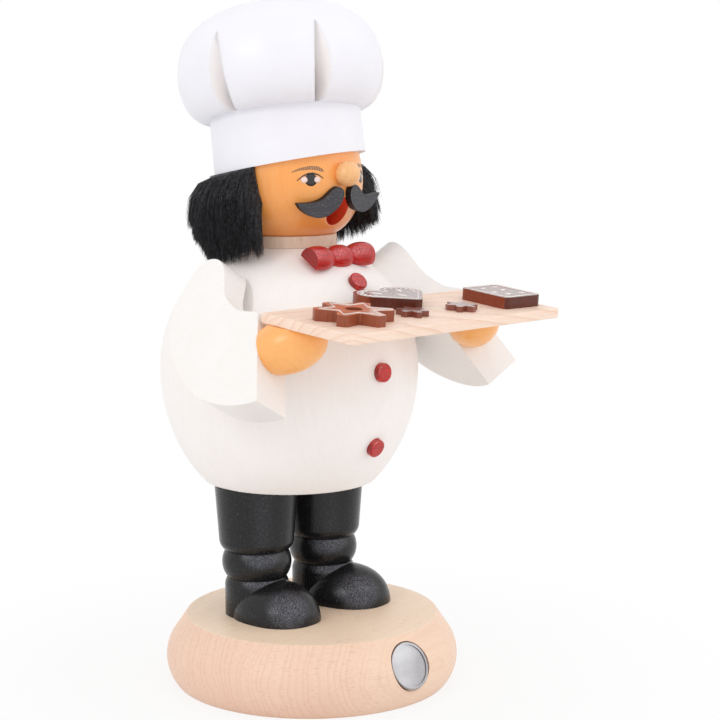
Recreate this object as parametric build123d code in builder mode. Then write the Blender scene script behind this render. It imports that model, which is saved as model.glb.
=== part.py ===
from build123d import *
import os
from math import acos, asin, atan2, cos, degrees, hypot, radians, sin, sqrt, tan

os.makedirs("parts", exist_ok=True)

# Frame: millimetres, Z up, origin under the middle of the base, the figure faces -Y, its left hand is +X

# Base of the stand
base_radius = 43.0
base_height = 20.1
base_top_radius = 37.0
base_bulge_radius = 11.7
base_bulge_height = 7.7
base_edge_round = 0.6

# Blank coin let into the side of the base
coin_radius = 6.75
coin_thickness = 1.9
coin_rim = 0.8
coin_relief = 0.3
coin_turn = -1.0
coin_lift = 24.0
coin_recess_gap = 0.35
coin_recess_depth = 2.6

# Legs, heights measured up from the base
body_y = 9.3
leg_spread = 13.4
leg_height = 38.6
ankle_radius = 9.4
ankle_height = 9.0
ankle_groove_radius = 8.6
ankle_groove_height = 11.2
bead_radius = 10.2
bead_height = 15.4
hem_groove_radius = 9.2
hem_groove_height = 19.3
hem_radius = 11.0
hem_height = 22.5
thigh_radius = 12.2

# Toe caps
toe_half_width = 11.2
toe_half_length = 13.6
toe_forward = 8.2
toe_power = 2.3
right_toe_turn = 2.0
left_toe_turn = 13.5

# Plug that the body stands on, with its dish
plug_radius = 19.3
plug_height = 8.0
plug_clearance = 0.1
air_hole_radius = 2.5
air_hole_offset = 15.0
dish_radius = 11.5
dish_sheet = 0.8
dish_rim_height = 3.0
dish_recess = 1.0
tack_shank_radius = 0.9
tack_head_radius = 2.6
tack_head_height = 1.1
tack_length = 6.0

# Dowels
dowel_radius = 3.0
small_dowel_radius = 2.0
dowel_fit = 0.05
dowel_depth = 7.0
glue_room = 0.4

# Belly, heights measured up from the tops of the legs
belly_radius = 37.9
belly_lift = 33.3
belly_rise = 38.7
belly_drop = 44.5
belly_foot_round = 1.2
chamber_radius = 24.0
chamber_low_lift = 14.3
chamber_high_lift = 36.3
chamber_top_lift = 58.3
mouth_land = 9.6
smoke_bore_radius = 4.5

# Collar between body and head
collar_radius = 14.0
collar_height = 3.5
collar_spigot_radius = 8.0
collar_spigot_down = 5.0
collar_spigot_up = 3.0
collar_bore_radius = 4.0

# Head, stations are (height above the collar, radius)
head_stations = [(0.0, 13.4), (2.2, 16.6), (6.4, 19.5), (12.8, 21.5), (19.1, 21.3), (26.0, 20.0)]
head_turn = 3.0
head_bore_radius = 4.6
mouth_radius = 4.1
mouth_height = 7.2
bore_past_mouth = 1.2
nose_radius = 3.6
nose_height = 17.9
nose_reach = 23.5
nose_peg_radius = 1.5
nose_peg_depth = 6.0

# Moustache, stations are (outward, up from the middle of the plate)
moustache_thickness = 2.5
moustache_tip_thickness = 1.6
moustache_reach = 23.2
moustache_shift = 0.35
moustache_sweep = 10.9
moustache_tilt = 6.7
moustache_roll = 2.7
moustache_height = 10.4
moustache_low = [
    (1.3, 1.6), (2.2, -0.7), (4.9, -3.0), (7.6, -4.1), (10.2, -4.2), (13.0, -3.3), (15.6, -1.6), (17.3, 0.5),
]
moustache_high = [
    (17.3, 0.5), (12.6, 0.3), (10.2, 0.5), (8.4, 1.1), (6.8, 2.3), (5.2, 3.5), (3.6, 4.1), (2.1, 3.6),
    (1.3, 1.6),
]

# Hat, leaning back and a little to the left hand
hat_lean_back = 10.8
hat_lean_side = 2.0
hat_seat_back = 10.7
hat_seat_side = -3.2
hat_seat_rise = 1.1
hat_seam_back = 11.3
hat_seam_side = 3.2
hat_seat_y = 8.3
hat_seat_lift = 18.85
band_low_radius = 22.1
band_high_radius = 21.9
band_height = 15.1
crown_radius = 29.9
crown_foot_radius = 22.1
crown_swell_height = 12.2
crown_height = 33.0
crown_high_power = 2.4
crown_low_power = 2.0
pleat_count = 6
pleat_first = -79.0
pleat_top_height = 22.5
pleat_half_angle = 25.0
hat_dowel_radius = 4.0
hat_dowel_in_head = 4.6
hat_dowel_in_crown = 10.0

# Hair strip round the back of the head
hair_radius = 28.6
hair_inner_radius = 18.5
hair_drop = 4.1
hair_front_turn = 67.0
hair_clearance = 0.3

# Sleeves, stations are (forward, up) from the middle of the cuff on the outer face
sleeve_tilt = 29.3
sleeve_toe_in = 4.2
sleeve_thickness = 12.5
cuff_height = 26.7
cuff_tilt = 24.3
cuff_x = 45.8
cuff_y = -28.2
cuff_lift = 11.7
sleeve_stations = [
    (-12.6, 12.1), (-16.7, 13.7), (-20.4, 16.9), (-22.8, 22.0), (-26.4, 25.9), (-31.4, 25.6),
    (-35.4, 19.0), (-36.9, 11.0), (-35.6, 3.6), (-31.6, -2.8), (-25.8, -8.2), (-18.0, -12.9),
    (-9.6, -14.7), (-1.2, -14.2),
]
left_sleeve_stations = [
    (-12.6, 12.4), (-16.7, 14.3), (-20.4, 17.6), (-22.8, 22.6), (-26.4, 26.5), (-31.4, 26.0),
    (-35.4, 19.0), (-36.9, 11.0), (-35.6, 4.2), (-31.6, -1.6), (-25.8, -6.7), (-18.0, -11.3),
    (-9.6, -13.6), (-1.2, -13.9),
]
sleeve_relief_start = -30.0
sleeve_relief_depth = 4.1
sleeve_relief_run = 9.0
sleeve_stop = -38.4
sleeve_dowel_forward = -33.0
sleeve_dowel_up = 12.5

# Hands
hand_half_length = 11.0
hand_radius = 7.5
hand_x = 36.6
hand_y = -30.3
hand_rise = 1.9
hand_turn = 33.8
hand_lift = 16.8

# Tray
tray_width = 81.6
tray_depth = 35.0
tray_thickness = 2.85
tray_tilt = 4.5
tray_y = -41.7
tray_rise = 9.4
tray_edge_round = 0.4

# Gingerbread, places are (across, back) from the middle of the tray
star_place = (-26.2, -2.7)
star_tip = 10.9
star_valley = 6.2
star_tip_half_width = 1.5
star_corner = 0.8
star_thickness = 3.1
star_hole_radius = 2.35
star_turn = 29.8
heart_place = (0.6, -2.3)
heart_lobe_radius = 6.0
heart_lobe_offset = 5.2
heart_lobe_reach = 13.5
heart_thickness = 3.2
heart_tip_radius = 2.2
slab_place = (32.0, -3.0)
slab_width = 14.4
slab_depth = 18.3
slab_corner = 1.8
slab_thickness = 3.3
slab_turn = -3.0
small_star_places = [(-6.1, -5.0), (12.6, -5.8)]
small_star_turns = [10.0, 35.0]
small_star_tip = 4.5
small_star_valley = 2.7
small_star_tip_half_width = 0.7
small_star_thickness = 1.6

# Bow tie
bow_x = 0.8
bow_ahead = 20.0
bow_below_collar = 2.5
bow_turn = 3.5
bow_half_length = 12.2
bow_groove = 3.9
bow_groove_radius = 2.6
bow_knot_radius = 3.7
bow_lobe_radius = 3.85
bow_end_radius = 3.5
bow_end_round = 0.3
bow_back = 0.7
bow_back_tilt = 56.4

# Buttons down the front, places are (up from the middle of the belly, turn)
button_radius = 2.72
button_proud = 1.7
button_seat = 1.1
button_edge_round = 0.6
button_lifts = {"button_upper": (26.7, 1.7), "button_middle": (2.3, 0.5), "button_lower": (-19.6, 2.2)}

# Derived levels
leg_top = base_height + leg_height
belly_middle = leg_top + belly_lift
chamber_low = leg_top + chamber_low_lift
chamber_high = leg_top + chamber_high_lift
chamber_top = leg_top + chamber_top_lift
collar_low = belly_middle + belly_rise * sqrt(1.0 - (collar_radius / belly_radius) ** 2)
head_low = collar_low + collar_height
hat_seat_z = head_low + hat_seat_lift
hair_low = head_low - hair_drop
cuff_z = belly_middle + cuff_lift
hand_z = cuff_z + hand_rise
tray_z = cuff_z + tray_rise
body_axis = Axis((0, body_y, 0), (0, 0, 1))
body_plane = Plane(origin=(0, body_y, 0), x_dir=(1, 0, 0), z_dir=(0, -1, 0))


def lame(share, power):
    return max(0.0, 1.0 - abs(share) ** power) ** (1.0 / power)


def belly_radius_at(height):
    half = belly_rise if height > belly_middle else belly_drop
    return belly_radius * lame((height - belly_middle) / half, 2.0)


def lean(back, side):
    upright = cos(radians(side))
    return Vector(sin(radians(side)), sin(radians(back)) * upright, cos(radians(back)) * upright)


def facing(turn):
    return Vector(sin(radians(turn)), -cos(radians(turn)), 0)


def peg(start, direction, radius, length):
    with Locations(Plane(origin=start, z_dir=direction).location):
        Cylinder(radius, length, align=(Align.CENTER, Align.CENTER, Align.MIN))


def drill(start, direction, radius, depth):
    with Locations(Plane(origin=start, z_dir=direction).location):
        Cylinder(radius, depth, align=(Align.CENTER, Align.CENTER, Align.MIN), mode=Mode.SUBTRACT)


def save(piece, name):
    piece.label = name
    export_step(piece, "parts/" + name + ".step")


# Base: turned disc with a rounded bulge, dowel holes and the coin's recess
bulge_centre = base_radius - base_bulge_radius
flank_run = base_top_radius - bulge_centre
flank_rise = base_height - base_bulge_height
flank_turn = degrees(atan2(flank_rise, flank_run) - acos(base_bulge_radius / hypot(flank_run, flank_rise)))
foot_turn = -degrees(asin(base_bulge_height / base_bulge_radius))
coin_axis = facing(coin_turn) * cos(radians(coin_lift)) + Vector(0, 0, sin(radians(coin_lift)))
coin_crest = facing(coin_turn) * (bulge_centre + base_bulge_radius * cos(radians(coin_lift))) + Vector(
    0, 0, base_bulge_height + base_bulge_radius * sin(radians(coin_lift))
)
coin_floor = coin_crest - coin_axis * coin_recess_depth

with BuildPart() as base:
    with BuildSketch(Plane.XZ):
        with BuildLine():
            bulge = CenterArc(
                (bulge_centre, base_bulge_height), base_bulge_radius, foot_turn, flank_turn - foot_turn
            )
            Line(bulge @ 1, (base_top_radius, base_height))
            Line((base_top_radius, base_height), (0, base_height))
            Line((0, base_height), (0, 0))
            Line((0, 0), bulge @ 0)
        make_face()
    revolve(axis=Axis.Z)
    fillet(base.edges().filter_by(GeomType.CIRCLE).sort_by(Axis.Z)[-1], base_edge_round)
    for side in (-1, 1):
        drill((side * leg_spread, body_y, base_height), (0, 0, -1), dowel_radius + dowel_fit, dowel_depth)
    drill(coin_floor, coin_axis, coin_radius + coin_recess_gap, coin_recess_depth * 3)
save(base.part, "base")

# Coin: blank disc with a plain raised rim
with BuildPart() as base_medallion:
    peg(coin_floor, coin_axis, coin_radius, coin_thickness)
    fillet(base_medallion.edges().filter_by(GeomType.CIRCLE), 0.25)
    drill(coin_floor + coin_axis * (coin_thickness - coin_relief), coin_axis, coin_radius - coin_rim, 1.0)
save(base_medallion.part, "base_medallion")

# Legs: turned ankle, bead and tapering trouser, both ends drilled
for side, name in ((-1, "right_leg"), (1, "left_leg")):
    leg_x = side * leg_spread
    with BuildPart() as leg:
        with BuildSketch(Plane(origin=(leg_x, body_y, base_height), x_dir=(1, 0, 0), z_dir=(0, -1, 0))):
            with BuildLine():
                Line((0, 0), (ankle_radius, 0))
                Line((ankle_radius, 0), (ankle_radius, ankle_height))
                ThreePointArc(
                    (ankle_radius, ankle_height),
                    (
                        0.6 * ankle_radius + 0.4 * ankle_groove_radius,
                        0.4 * ankle_height + 0.6 * ankle_groove_height,
                    ),
                    (ankle_groove_radius, ankle_groove_height),
                )
                ThreePointArc(
                    (ankle_groove_radius, ankle_groove_height),
                    (bead_radius, bead_height),
                    (hem_groove_radius, hem_groove_height),
                )
                ThreePointArc(
                    (hem_groove_radius, hem_groove_height),
                    (0.3 * hem_groove_radius + 0.7 * hem_radius, 0.6 * hem_groove_height + 0.4 * hem_height),
                    (hem_radius, hem_height),
                )
                Line((hem_radius, hem_height), (thigh_radius, leg_height))
                Line((thigh_radius, leg_height), (0, leg_height))
                Line((0, leg_height), (0, 0))
            make_face()
        revolve(axis=Axis((leg_x, body_y, 0), (0, 0, 1)))
        drill((leg_x, body_y, base_height), (0, 0, 1), dowel_radius + dowel_fit, dowel_depth + glue_room)
        drill((leg_x, body_y, leg_top), (0, 0, -1), dowel_radius + dowel_fit, dowel_depth)
    save(leg.part, name)

# Dowels between base and legs, and between legs and plug
for side, name in ((-1, "right_foot_dowel"), (1, "left_foot_dowel")):
    with BuildPart() as foot_dowel:
        peg((side * leg_spread, body_y, base_height - dowel_depth), (0, 0, 1), dowel_radius, 2 * dowel_depth)
        chamfer(foot_dowel.edges().filter_by(GeomType.CIRCLE), 0.5)
    save(foot_dowel.part, name)

top_dowel_rise = 0.6 * plug_height
for side, name in ((-1, "right_top_dowel"), (1, "left_top_dowel")):
    with BuildPart() as top_dowel:
        dowel_foot = (side * leg_spread, body_y, leg_top - dowel_depth)
        peg(dowel_foot, (0, 0, 1), dowel_radius, dowel_depth + top_dowel_rise)
        chamfer(top_dowel.edges().filter_by(GeomType.CIRCLE), 0.5)
    save(top_dowel.part, name)

# Toe caps: half eggs hollowed to sit against the ankles
for side, turn, name in ((-1, right_toe_turn, "right_toe_cap"), (1, left_toe_turn, "left_toe_cap")):
    leg_x = side * leg_spread
    ahead = facing(turn)
    across = Vector(cos(radians(turn)), sin(radians(turn)), 0)
    with BuildPart() as toe_cap:
        with BuildSketch(Plane(origin=(leg_x, body_y, base_height), x_dir=across, z_dir=(0, 0, 1))):
            with BuildLine():
                stations = []
                for step in range(13):
                    share = sin(radians(-90 + 15 * step))
                    half_width = toe_half_width * lame(share, toe_power)
                    stations.append((half_width, toe_half_length * share - toe_forward))
                rim = Spline(stations, tangents=[(1, 0), (-1, 0)])
                Line(rim @ 1, rim @ 0)
            make_face()
        revolve(axis=Axis((leg_x, body_y, base_height), ahead))
        split(bisect_by=Plane.XY.offset(base_height), keep=Keep.TOP)
        drill((leg_x, body_y, base_height), (0, 0, 1), ankle_radius, 3 * ankle_height)
    save(toe_cap.part, name)

# Plug: the spigot that the hollow body drops over, with air holes and the dish's seat
with BuildPart() as waist_plug:
    peg((0, body_y, leg_top), (0, 0, 1), plug_radius, plug_height)
    chamfer(waist_plug.edges().filter_by(GeomType.CIRCLE).sort_by(Axis.Z)[-1], 0.8)
    drill((0, body_y, leg_top + plug_height - dish_recess), (0, 0, 1), dish_radius + 0.2, plug_height)
    for away in (-1, 1):
        drill((0, body_y + away * air_hole_offset, leg_top - 1), (0, 0, 1), air_hole_radius, plug_height + 2)
    for side in (-1, 1):
        socket = (side * leg_spread, body_y, leg_top)
        drill(socket, (0, 0, 1), dowel_radius + dowel_fit, top_dowel_rise + glue_room)
    drill((0, body_y, leg_top + 0.5), (0, 0, 1), tack_shank_radius + dowel_fit, plug_height)
save(waist_plug.part, "waist_plug")

# Dish for the incense, pinned by a round-headed tack
dish_low = leg_top + plug_height - dish_recess
with BuildPart() as incense_dish:
    peg((0, body_y, dish_low), (0, 0, 1), dish_radius, dish_rim_height)
    drill((0, body_y, dish_low + dish_sheet), (0, 0, 1), dish_radius - dish_sheet, dish_rim_height)
    fillet(incense_dish.edges().filter_by(GeomType.CIRCLE).sort_by(Axis.Z)[0], 0.6)
    drill((0, body_y, dish_low - 1), (0, 0, 1), tack_shank_radius + dowel_fit, dish_rim_height)
save(incense_dish.part, "incense_dish")

with BuildPart() as dish_tack:
    with BuildSketch(body_plane):
        with BuildLine():
            tack_seat = dish_low + dish_sheet
            dome = ThreePointArc(
                (0, tack_seat + tack_head_height),
                (0.75 * tack_head_radius, tack_seat + 0.62 * tack_head_height),
                (tack_head_radius, tack_seat),
            )
            Polyline(
                (tack_head_radius, tack_seat),
                (tack_shank_radius, tack_seat),
                (tack_shank_radius, tack_seat - tack_length + 2),
                (0, tack_seat - tack_length),
                (0, tack_seat + tack_head_height),
            )
        make_face()
    revolve(axis=body_axis)
save(dish_tack.part, "dish_tack")

# Hat planes
hat_axis = lean(hat_lean_back, hat_lean_side)
hat_across = (Vector(1, 0, 0) - hat_axis * hat_axis.X).normalized()
hat_seat_point = Vector(0, hat_seat_y, hat_seat_z)
hat_seam_point = hat_seat_point + hat_axis * band_height
hat_cut_point = hat_seat_point + Vector(0, 0, hat_seat_rise)
hat_seat_plane = Plane(origin=hat_cut_point, z_dir=lean(hat_seat_back, hat_seat_side))
hat_seam_plane = Plane(origin=hat_seam_point, z_dir=lean(hat_seam_back, hat_seam_side))

# Sleeve planes: the outer face through the middle of the cuff, and the face that sits on the body
sleeve_outer = {}
sleeve_inner = {}
sleeve_ahead = {}
for side in (-1, 1):
    outward = Vector(
        side * cos(radians(sleeve_tilt)) * cos(radians(sleeve_toe_in)),
        -cos(radians(sleeve_tilt)) * sin(radians(sleeve_toe_in)),
        sin(radians(sleeve_tilt)),
    )
    forward = Vector(-side * sin(radians(sleeve_toe_in)), -cos(radians(sleeve_toe_in)), 0)
    upward = (outward.cross(forward)) * -side
    middle = Vector(side * cuff_x, cuff_y, cuff_z)
    sleeve_outer[side] = Plane(origin=middle, x_dir=forward, z_dir=outward)
    sleeve_inner[side] = Plane(origin=middle - outward * sleeve_thickness, x_dir=forward, z_dir=outward)
    sleeve_ahead[side] = forward * cos(radians(cuff_tilt)) + upward * sin(radians(cuff_tilt))


def sleeve_point(plane, side, ahead, up):
    return plane.from_local_coords(Vector(ahead, -side * up, 0))


# Blank of the belly: egg with a flat foot and a flat top under the collar
foot_share = degrees(asin((leg_top - belly_middle) / belly_drop))
top_share = degrees(asin((collar_low - belly_middle) / belly_rise))
with BuildPart() as belly_blank:
    with BuildSketch(body_plane):
        with BuildLine():
            low_curve = Spline(
                [
                    (belly_radius_at(belly_middle + belly_drop * sin(radians(foot_share * (1 - step / 8)))),
                     belly_middle + belly_drop * sin(radians(foot_share * (1 - step / 8))))
                    for step in range(9)
                ],
                tangents=[(tan(radians(-foot_share)) * belly_radius / belly_drop, 1.0), (0, 1)],
            )
            high_curve = Spline(
                [
                    (belly_radius_at(belly_middle + belly_rise * sin(radians(top_share * step / 8))),
                     belly_middle + belly_rise * sin(radians(top_share * step / 8)))
                    for step in range(9)
                ],
                tangents=[(0, 1), (-tan(radians(top_share)) * belly_radius / belly_rise, 1.0)],
            )
            Line(high_curve @ 1, (0, collar_low))
            Line((0, collar_low), (0, leg_top))
            Line((0, leg_top), low_curve @ 0)
        make_face()
    revolve(axis=body_axis)
    fillet(belly_blank.edges().filter_by(GeomType.CIRCLE).sort_by(Axis.Z)[0], belly_foot_round)

# Belly: hollowed smoke chamber, drilled neck, flats for the sleeves and seats for the buttons
button_places = {}
for name, (lift, turn) in button_lifts.items():
    height = belly_middle + lift
    half = belly_rise if lift > 0 else belly_drop
    slope = atan2(lift / half ** 2, belly_radius_at(height) / belly_radius ** 2)
    button_places[name] = (
        Vector(0, body_y, height) + facing(turn) * belly_radius_at(height),
        facing(turn) * cos(slope) + Vector(0, 0, sin(slope)),
    )

with BuildPart() as belly_shell:
    add(belly_blank.part)
    with BuildSketch(body_plane):
        with BuildLine():
            mouth_radius_out = plug_radius + plug_clearance
            Polyline(
                (0, leg_top - 1),
                (mouth_radius_out, leg_top - 1),
                (mouth_radius_out, leg_top + mouth_land),
                (chamber_radius, chamber_low),
                (chamber_radius, chamber_high),
            )
            ThreePointArc(
                (chamber_radius, chamber_high),
                (0.74 * chamber_radius, 0.35 * chamber_high + 0.65 * chamber_top),
                (smoke_bore_radius, chamber_top),
            )
            Polyline(
                (smoke_bore_radius, chamber_top),
                (smoke_bore_radius, collar_low + 1),
                (0, collar_low + 1),
                (0, leg_top - 1),
            )
        make_face()
    revolve(axis=body_axis, mode=Mode.SUBTRACT)
    spigot_hole = collar_spigot_radius + dowel_fit
    drill((0, body_y, collar_low), (0, 0, -1), spigot_hole, collar_spigot_down + glue_room)
    for side in (-1, 1):
        seat = sleeve_inner[side]
        shoulder = Plane(origin=sleeve_point(seat, side, sleeve_stop, 0), x_dir=seat.x_dir, z_dir=seat.z_dir)
        with Locations(shoulder.location):
            Box(80, 80, 30, align=(Align.MIN, Align.CENTER, Align.MIN), mode=Mode.SUBTRACT)
        socket = sleeve_point(seat, side, sleeve_dowel_forward, sleeve_dowel_up)
        drill(socket, seat.z_dir * -1, dowel_radius + dowel_fit, dowel_depth)
    for place, out in button_places.values():
        drill(place - out * button_seat, out, button_radius + dowel_fit, 6)
save(belly_shell.part, "belly_shell")

for name, (place, out) in button_places.items():
    with BuildPart() as button:
        peg(place - out * button_seat, out, button_radius, button_seat + button_proud)
        fillet(button.edges().filter_by(GeomType.CIRCLE).sort_by(Axis((0, 0, 0), out))[-1], button_edge_round)
    save(button.part, name)

# Collar: ring with a bored spigot at each end
with BuildPart() as neck_collar:
    peg((0, body_y, collar_low), (0, 0, 1), collar_radius, collar_height)
    fillet(neck_collar.edges().filter_by(GeomType.CIRCLE), 0.3)
    peg((0, body_y, collar_low - collar_spigot_down), (0, 0, 1), collar_spigot_radius, collar_spigot_down + 1)
    peg((0, body_y, head_low - 1), (0, 0, 1), collar_spigot_radius, collar_spigot_up + 1)
    drill((0, body_y, collar_low - 20), (0, 0, 1), collar_bore_radius, 40)
save(neck_collar.part, "neck_collar")

# Blank of the head
with BuildPart() as head_blank:
    with BuildSketch(body_plane):
        with BuildLine():
            cheek = Spline([(radius, head_low + up) for up, radius in head_stations])
            Line(cheek @ 1, (0, head_low + head_stations[-1][0]))
            Line((0, head_low + head_stations[-1][0]), (0, head_low))
            Line((0, head_low), cheek @ 0)
        make_face()
    revolve(axis=body_axis)
    split(bisect_by=hat_seat_plane, keep=Keep.BOTTOM)

# Head: smoke bore from the collar, mouth hole, nose seat and hat dowel hole
face_axis = facing(head_turn)
nose_centre = Vector(0, body_y, head_low + nose_height) + face_axis * nose_reach
with BuildPart() as head:
    add(head_blank.part)
    drill((0, body_y, head_low), (0, 0, 1), spigot_hole, collar_spigot_up + glue_room)
    drill((0, body_y, head_low), (0, 0, 1), head_bore_radius, mouth_height + mouth_radius + bore_past_mouth)
    drill((0, body_y, head_low + mouth_height), face_axis, mouth_radius, 40)
    with Locations(Plane(origin=nose_centre, z_dir=face_axis).location):
        Sphere(nose_radius, mode=Mode.SUBTRACT)
    drill(nose_centre, face_axis * -1, nose_peg_radius + dowel_fit, nose_radius + nose_peg_depth)
    drill(hat_seat_point + hat_axis * 4, hat_axis * -1, hat_dowel_radius + dowel_fit, 4 + hat_dowel_in_head)
save(head.part, "head")

# Nose: ball on a peg
with BuildPart() as nose:
    with Locations(Plane(origin=nose_centre, z_dir=face_axis).location):
        Sphere(nose_radius)
    peg(nose_centre, face_axis * -1, nose_peg_radius, nose_radius + nose_peg_depth - glue_room)
save(nose.part, "nose")

# Moustache: two sawn plates that thin toward the tips, hollowed behind to lie on the face
face_across = Vector(cos(radians(head_turn)), sin(radians(head_turn)), 0)
moustache_root = Vector(0, body_y, head_low + moustache_height) + face_axis * moustache_reach
moustache_root = moustache_root + face_across * moustache_shift
moustache_taper = (moustache_thickness - moustache_tip_thickness) / moustache_low[-1][0]
for side, name in ((-1, "right_moustache"), (1, "left_moustache")):
    turn = head_turn + side * moustache_sweep
    plate_out = facing(turn) * cos(radians(moustache_tilt)) - Vector(0, 0, sin(radians(moustache_tilt)))
    along = Vector(cos(radians(turn)), sin(radians(turn)), 0)
    along = along * cos(radians(moustache_roll)) + plate_out.cross(along) * sin(radians(moustache_roll))
    plate_plane = Plane(origin=moustache_root, x_dir=along, z_dir=plate_out)
    with BuildPart() as moustache:
        with BuildSketch(plate_plane):
            with BuildLine():
                Spline([(side * out, up) for out, up in moustache_low])
                Spline([(side * out, up) for out, up in moustache_high])
            make_face()
        extrude(amount=-moustache_thickness)
        plate_back = moustache_root - plate_out * moustache_thickness
        back_out = plate_out - plate_plane.x_dir * side * moustache_taper
        split(bisect_by=Plane(origin=plate_back, z_dir=back_out), keep=Keep.TOP)
        add(head_blank.part, mode=Mode.SUBTRACT)
        with Locations(nose_centre):
            Sphere(nose_radius + hair_clearance, mode=Mode.SUBTRACT)
    save(moustache.part, name)

# Hat band: ring of the cap, cut aslant where it sits on the head
with BuildPart() as hat_band:
    with BuildSketch(Plane(origin=hat_seat_point, x_dir=hat_across, z_dir=hat_across.cross(hat_axis))):
        with BuildLine():
            reach = 6.0
            taper = (band_high_radius - band_low_radius) / band_height
            Polyline(
                (0, -reach),
                (band_low_radius - taper * reach, -reach),
                (band_high_radius + taper * reach, band_height + reach),
                (0, band_height + reach),
                (0, -reach),
            )
        make_face()
    revolve(axis=Axis(hat_seat_point, hat_axis))
    split(bisect_by=hat_seat_plane, keep=Keep.TOP)
    split(bisect_by=hat_seam_plane, keep=Keep.BOTTOM)
    drill(hat_seat_point - hat_axis * 20, hat_axis, hat_dowel_radius + dowel_fit, 60)
save(hat_band.part, "hat_band")

# Hat crown: swelling cap with carved pleats that run into the band
def crown_radius_at(height):
    if height < crown_swell_height:
        swell = crown_radius - crown_foot_radius
        return crown_foot_radius + swell * lame(1.0 - height / crown_swell_height, crown_low_power)
    share = (height - crown_swell_height) / (crown_height - crown_swell_height)
    power = crown_low_power + (crown_high_power - crown_low_power) * sin(radians(90 * min(1.0, 2 * share)))
    return crown_radius * lame(share, power)


with BuildPart() as hat_crown:
    with BuildSketch(Plane(origin=hat_seam_point, x_dir=hat_across, z_dir=hat_across.cross(hat_axis))):
        with BuildLine():
            skirt = 3.0
            low_heights = [crown_swell_height * (1 - cos(radians(15 * step))) for step in range(7)]
            low_side = Spline(
                [(crown_radius_at(height), height) for height in low_heights], tangents=[(1, 0), (0, 1)]
            )
            high_rise = crown_height - crown_swell_height
            high_heights = [crown_swell_height + high_rise * sin(radians(10 * step)) for step in range(10)]
            high_side = Spline(
                [(crown_radius_at(height), height) for height in high_heights], tangents=[(0, 1), (-1, 0)]
            )
            Polyline(high_side @ 1, (0, -skirt), (crown_foot_radius, -skirt), low_side @ 0)
        make_face()
    revolve(axis=Axis(hat_seam_point, hat_axis))
    split(bisect_by=hat_seam_plane, keep=Keep.TOP)
    for pleat in range(pleat_count):
        turn = radians(pleat_first + pleat * 360 / pleat_count - 90)
        valley = Vector(crown_foot_radius - 0.4, 0, 0)
        crest = Vector(crown_radius_at(pleat_top_height), 0, pleat_top_height)
        run = crest - valley
        pleat_plane = Plane(origin=hat_seam_point, x_dir=hat_across, z_dir=hat_axis)
        outline = []
        for point in (valley - run * 0.3, crest + run * 0.3):
            outline.append(
                pleat_plane.from_local_coords(Vector(point.X * cos(turn), point.X * sin(turn), point.Z))
            )
        radial = pleat_plane.from_local_coords(Vector(cos(turn), sin(turn), 0)) - hat_seam_point
        along = (outline[1] - outline[0]).normalized()
        outward = (radial - along * radial.dot(along)).normalized()
        wedge_depth = 16.0
        wedge_half = wedge_depth * tan(radians(pleat_half_angle))
        with BuildSketch(Plane(origin=outline[0], x_dir=outward, z_dir=along)):
            with BuildLine():
                Polyline((0, 0), (wedge_depth, wedge_half), (wedge_depth, -wedge_half), (0, 0))
            make_face()
        extrude(amount=(outline[1] - outline[0]).length, mode=Mode.SUBTRACT)
    drill(hat_seam_point - hat_axis * 20, hat_axis, hat_dowel_radius + dowel_fit, 20 + hat_dowel_in_crown)
save(hat_crown.part, "hat_crown")

# Dowel through head, band and crown
with BuildPart() as hat_dowel:
    peg(
        hat_seat_point - hat_axis * hat_dowel_in_head, hat_axis, hat_dowel_radius,
        hat_dowel_in_head + band_height + hat_dowel_in_crown - glue_room,
    )
    chamfer(hat_dowel.edges().filter_by(GeomType.CIRCLE), 0.5)
save(hat_dowel.part, "hat_dowel")

# Sleeves: sawn slabs with a flat that sits on the body and a square cuff
cuff_top = (-0.5 * cuff_height * sin(radians(cuff_tilt)), 0.5 * cuff_height * cos(radians(cuff_tilt)))
for side, name in ((-1, "right_sleeve"), (1, "left_sleeve")):
    outer = sleeve_outer[side]
    inner = sleeve_inner[side]
    ahead = sleeve_ahead[side]
    with BuildPart() as sleeve:
        with BuildSketch(outer):
            with BuildLine():
                outline = sleeve_stations if side < 0 else left_sleeve_stations
                stations = [(forward, -side * up) for forward, up in outline]
                edge = Spline(stations + [(-cuff_top[0], side * cuff_top[1])])
                Line(edge @ 1, (cuff_top[0], -side * cuff_top[1]))
                Line((cuff_top[0], -side * cuff_top[1]), edge @ 0)
            make_face()
        extrude(amount=-sleeve_thickness)
        if side < 0:
            relief_up = sleeve_stations[0][1]
            relief_plane = Plane(
                origin=sleeve_point(inner, side, sleeve_relief_start, relief_up),
                x_dir=inner.x_dir,
                z_dir=inner.y_dir * -side,
            )
            with BuildSketch(relief_plane):
                with BuildLine():
                    slope = -side * sleeve_relief_depth / sleeve_relief_run
                    Polyline((0, 0), (25, 0), (25, -25 * slope), (0, 0))
                make_face()
            extrude(amount=30, mode=Mode.SUBTRACT)
        drill(
            sleeve_point(inner, side, sleeve_dowel_forward, sleeve_dowel_up), inner.z_dir,
            dowel_radius + dowel_fit, dowel_depth + glue_room,
        )
        hand_centre = Vector(side * hand_x, hand_y, hand_z)
        hand_gap = (hand_centre - outer.origin).dot(ahead)
        hand_root = hand_centre - ahead * hand_gap
        drill(hand_root, ahead * -1, small_dowel_radius + dowel_fit, dowel_depth)
    save(sleeve.part, name)

    with BuildPart() as sleeve_dowel:
        peg(
            sleeve_point(inner, side, sleeve_dowel_forward, sleeve_dowel_up) - inner.z_dir * dowel_depth,
            inner.z_dir, dowel_radius, 2 * dowel_depth,
        )
        chamfer(sleeve_dowel.edges().filter_by(GeomType.CIRCLE), 0.5)
    save(sleeve_dowel.part, name + "_dowel")

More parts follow.
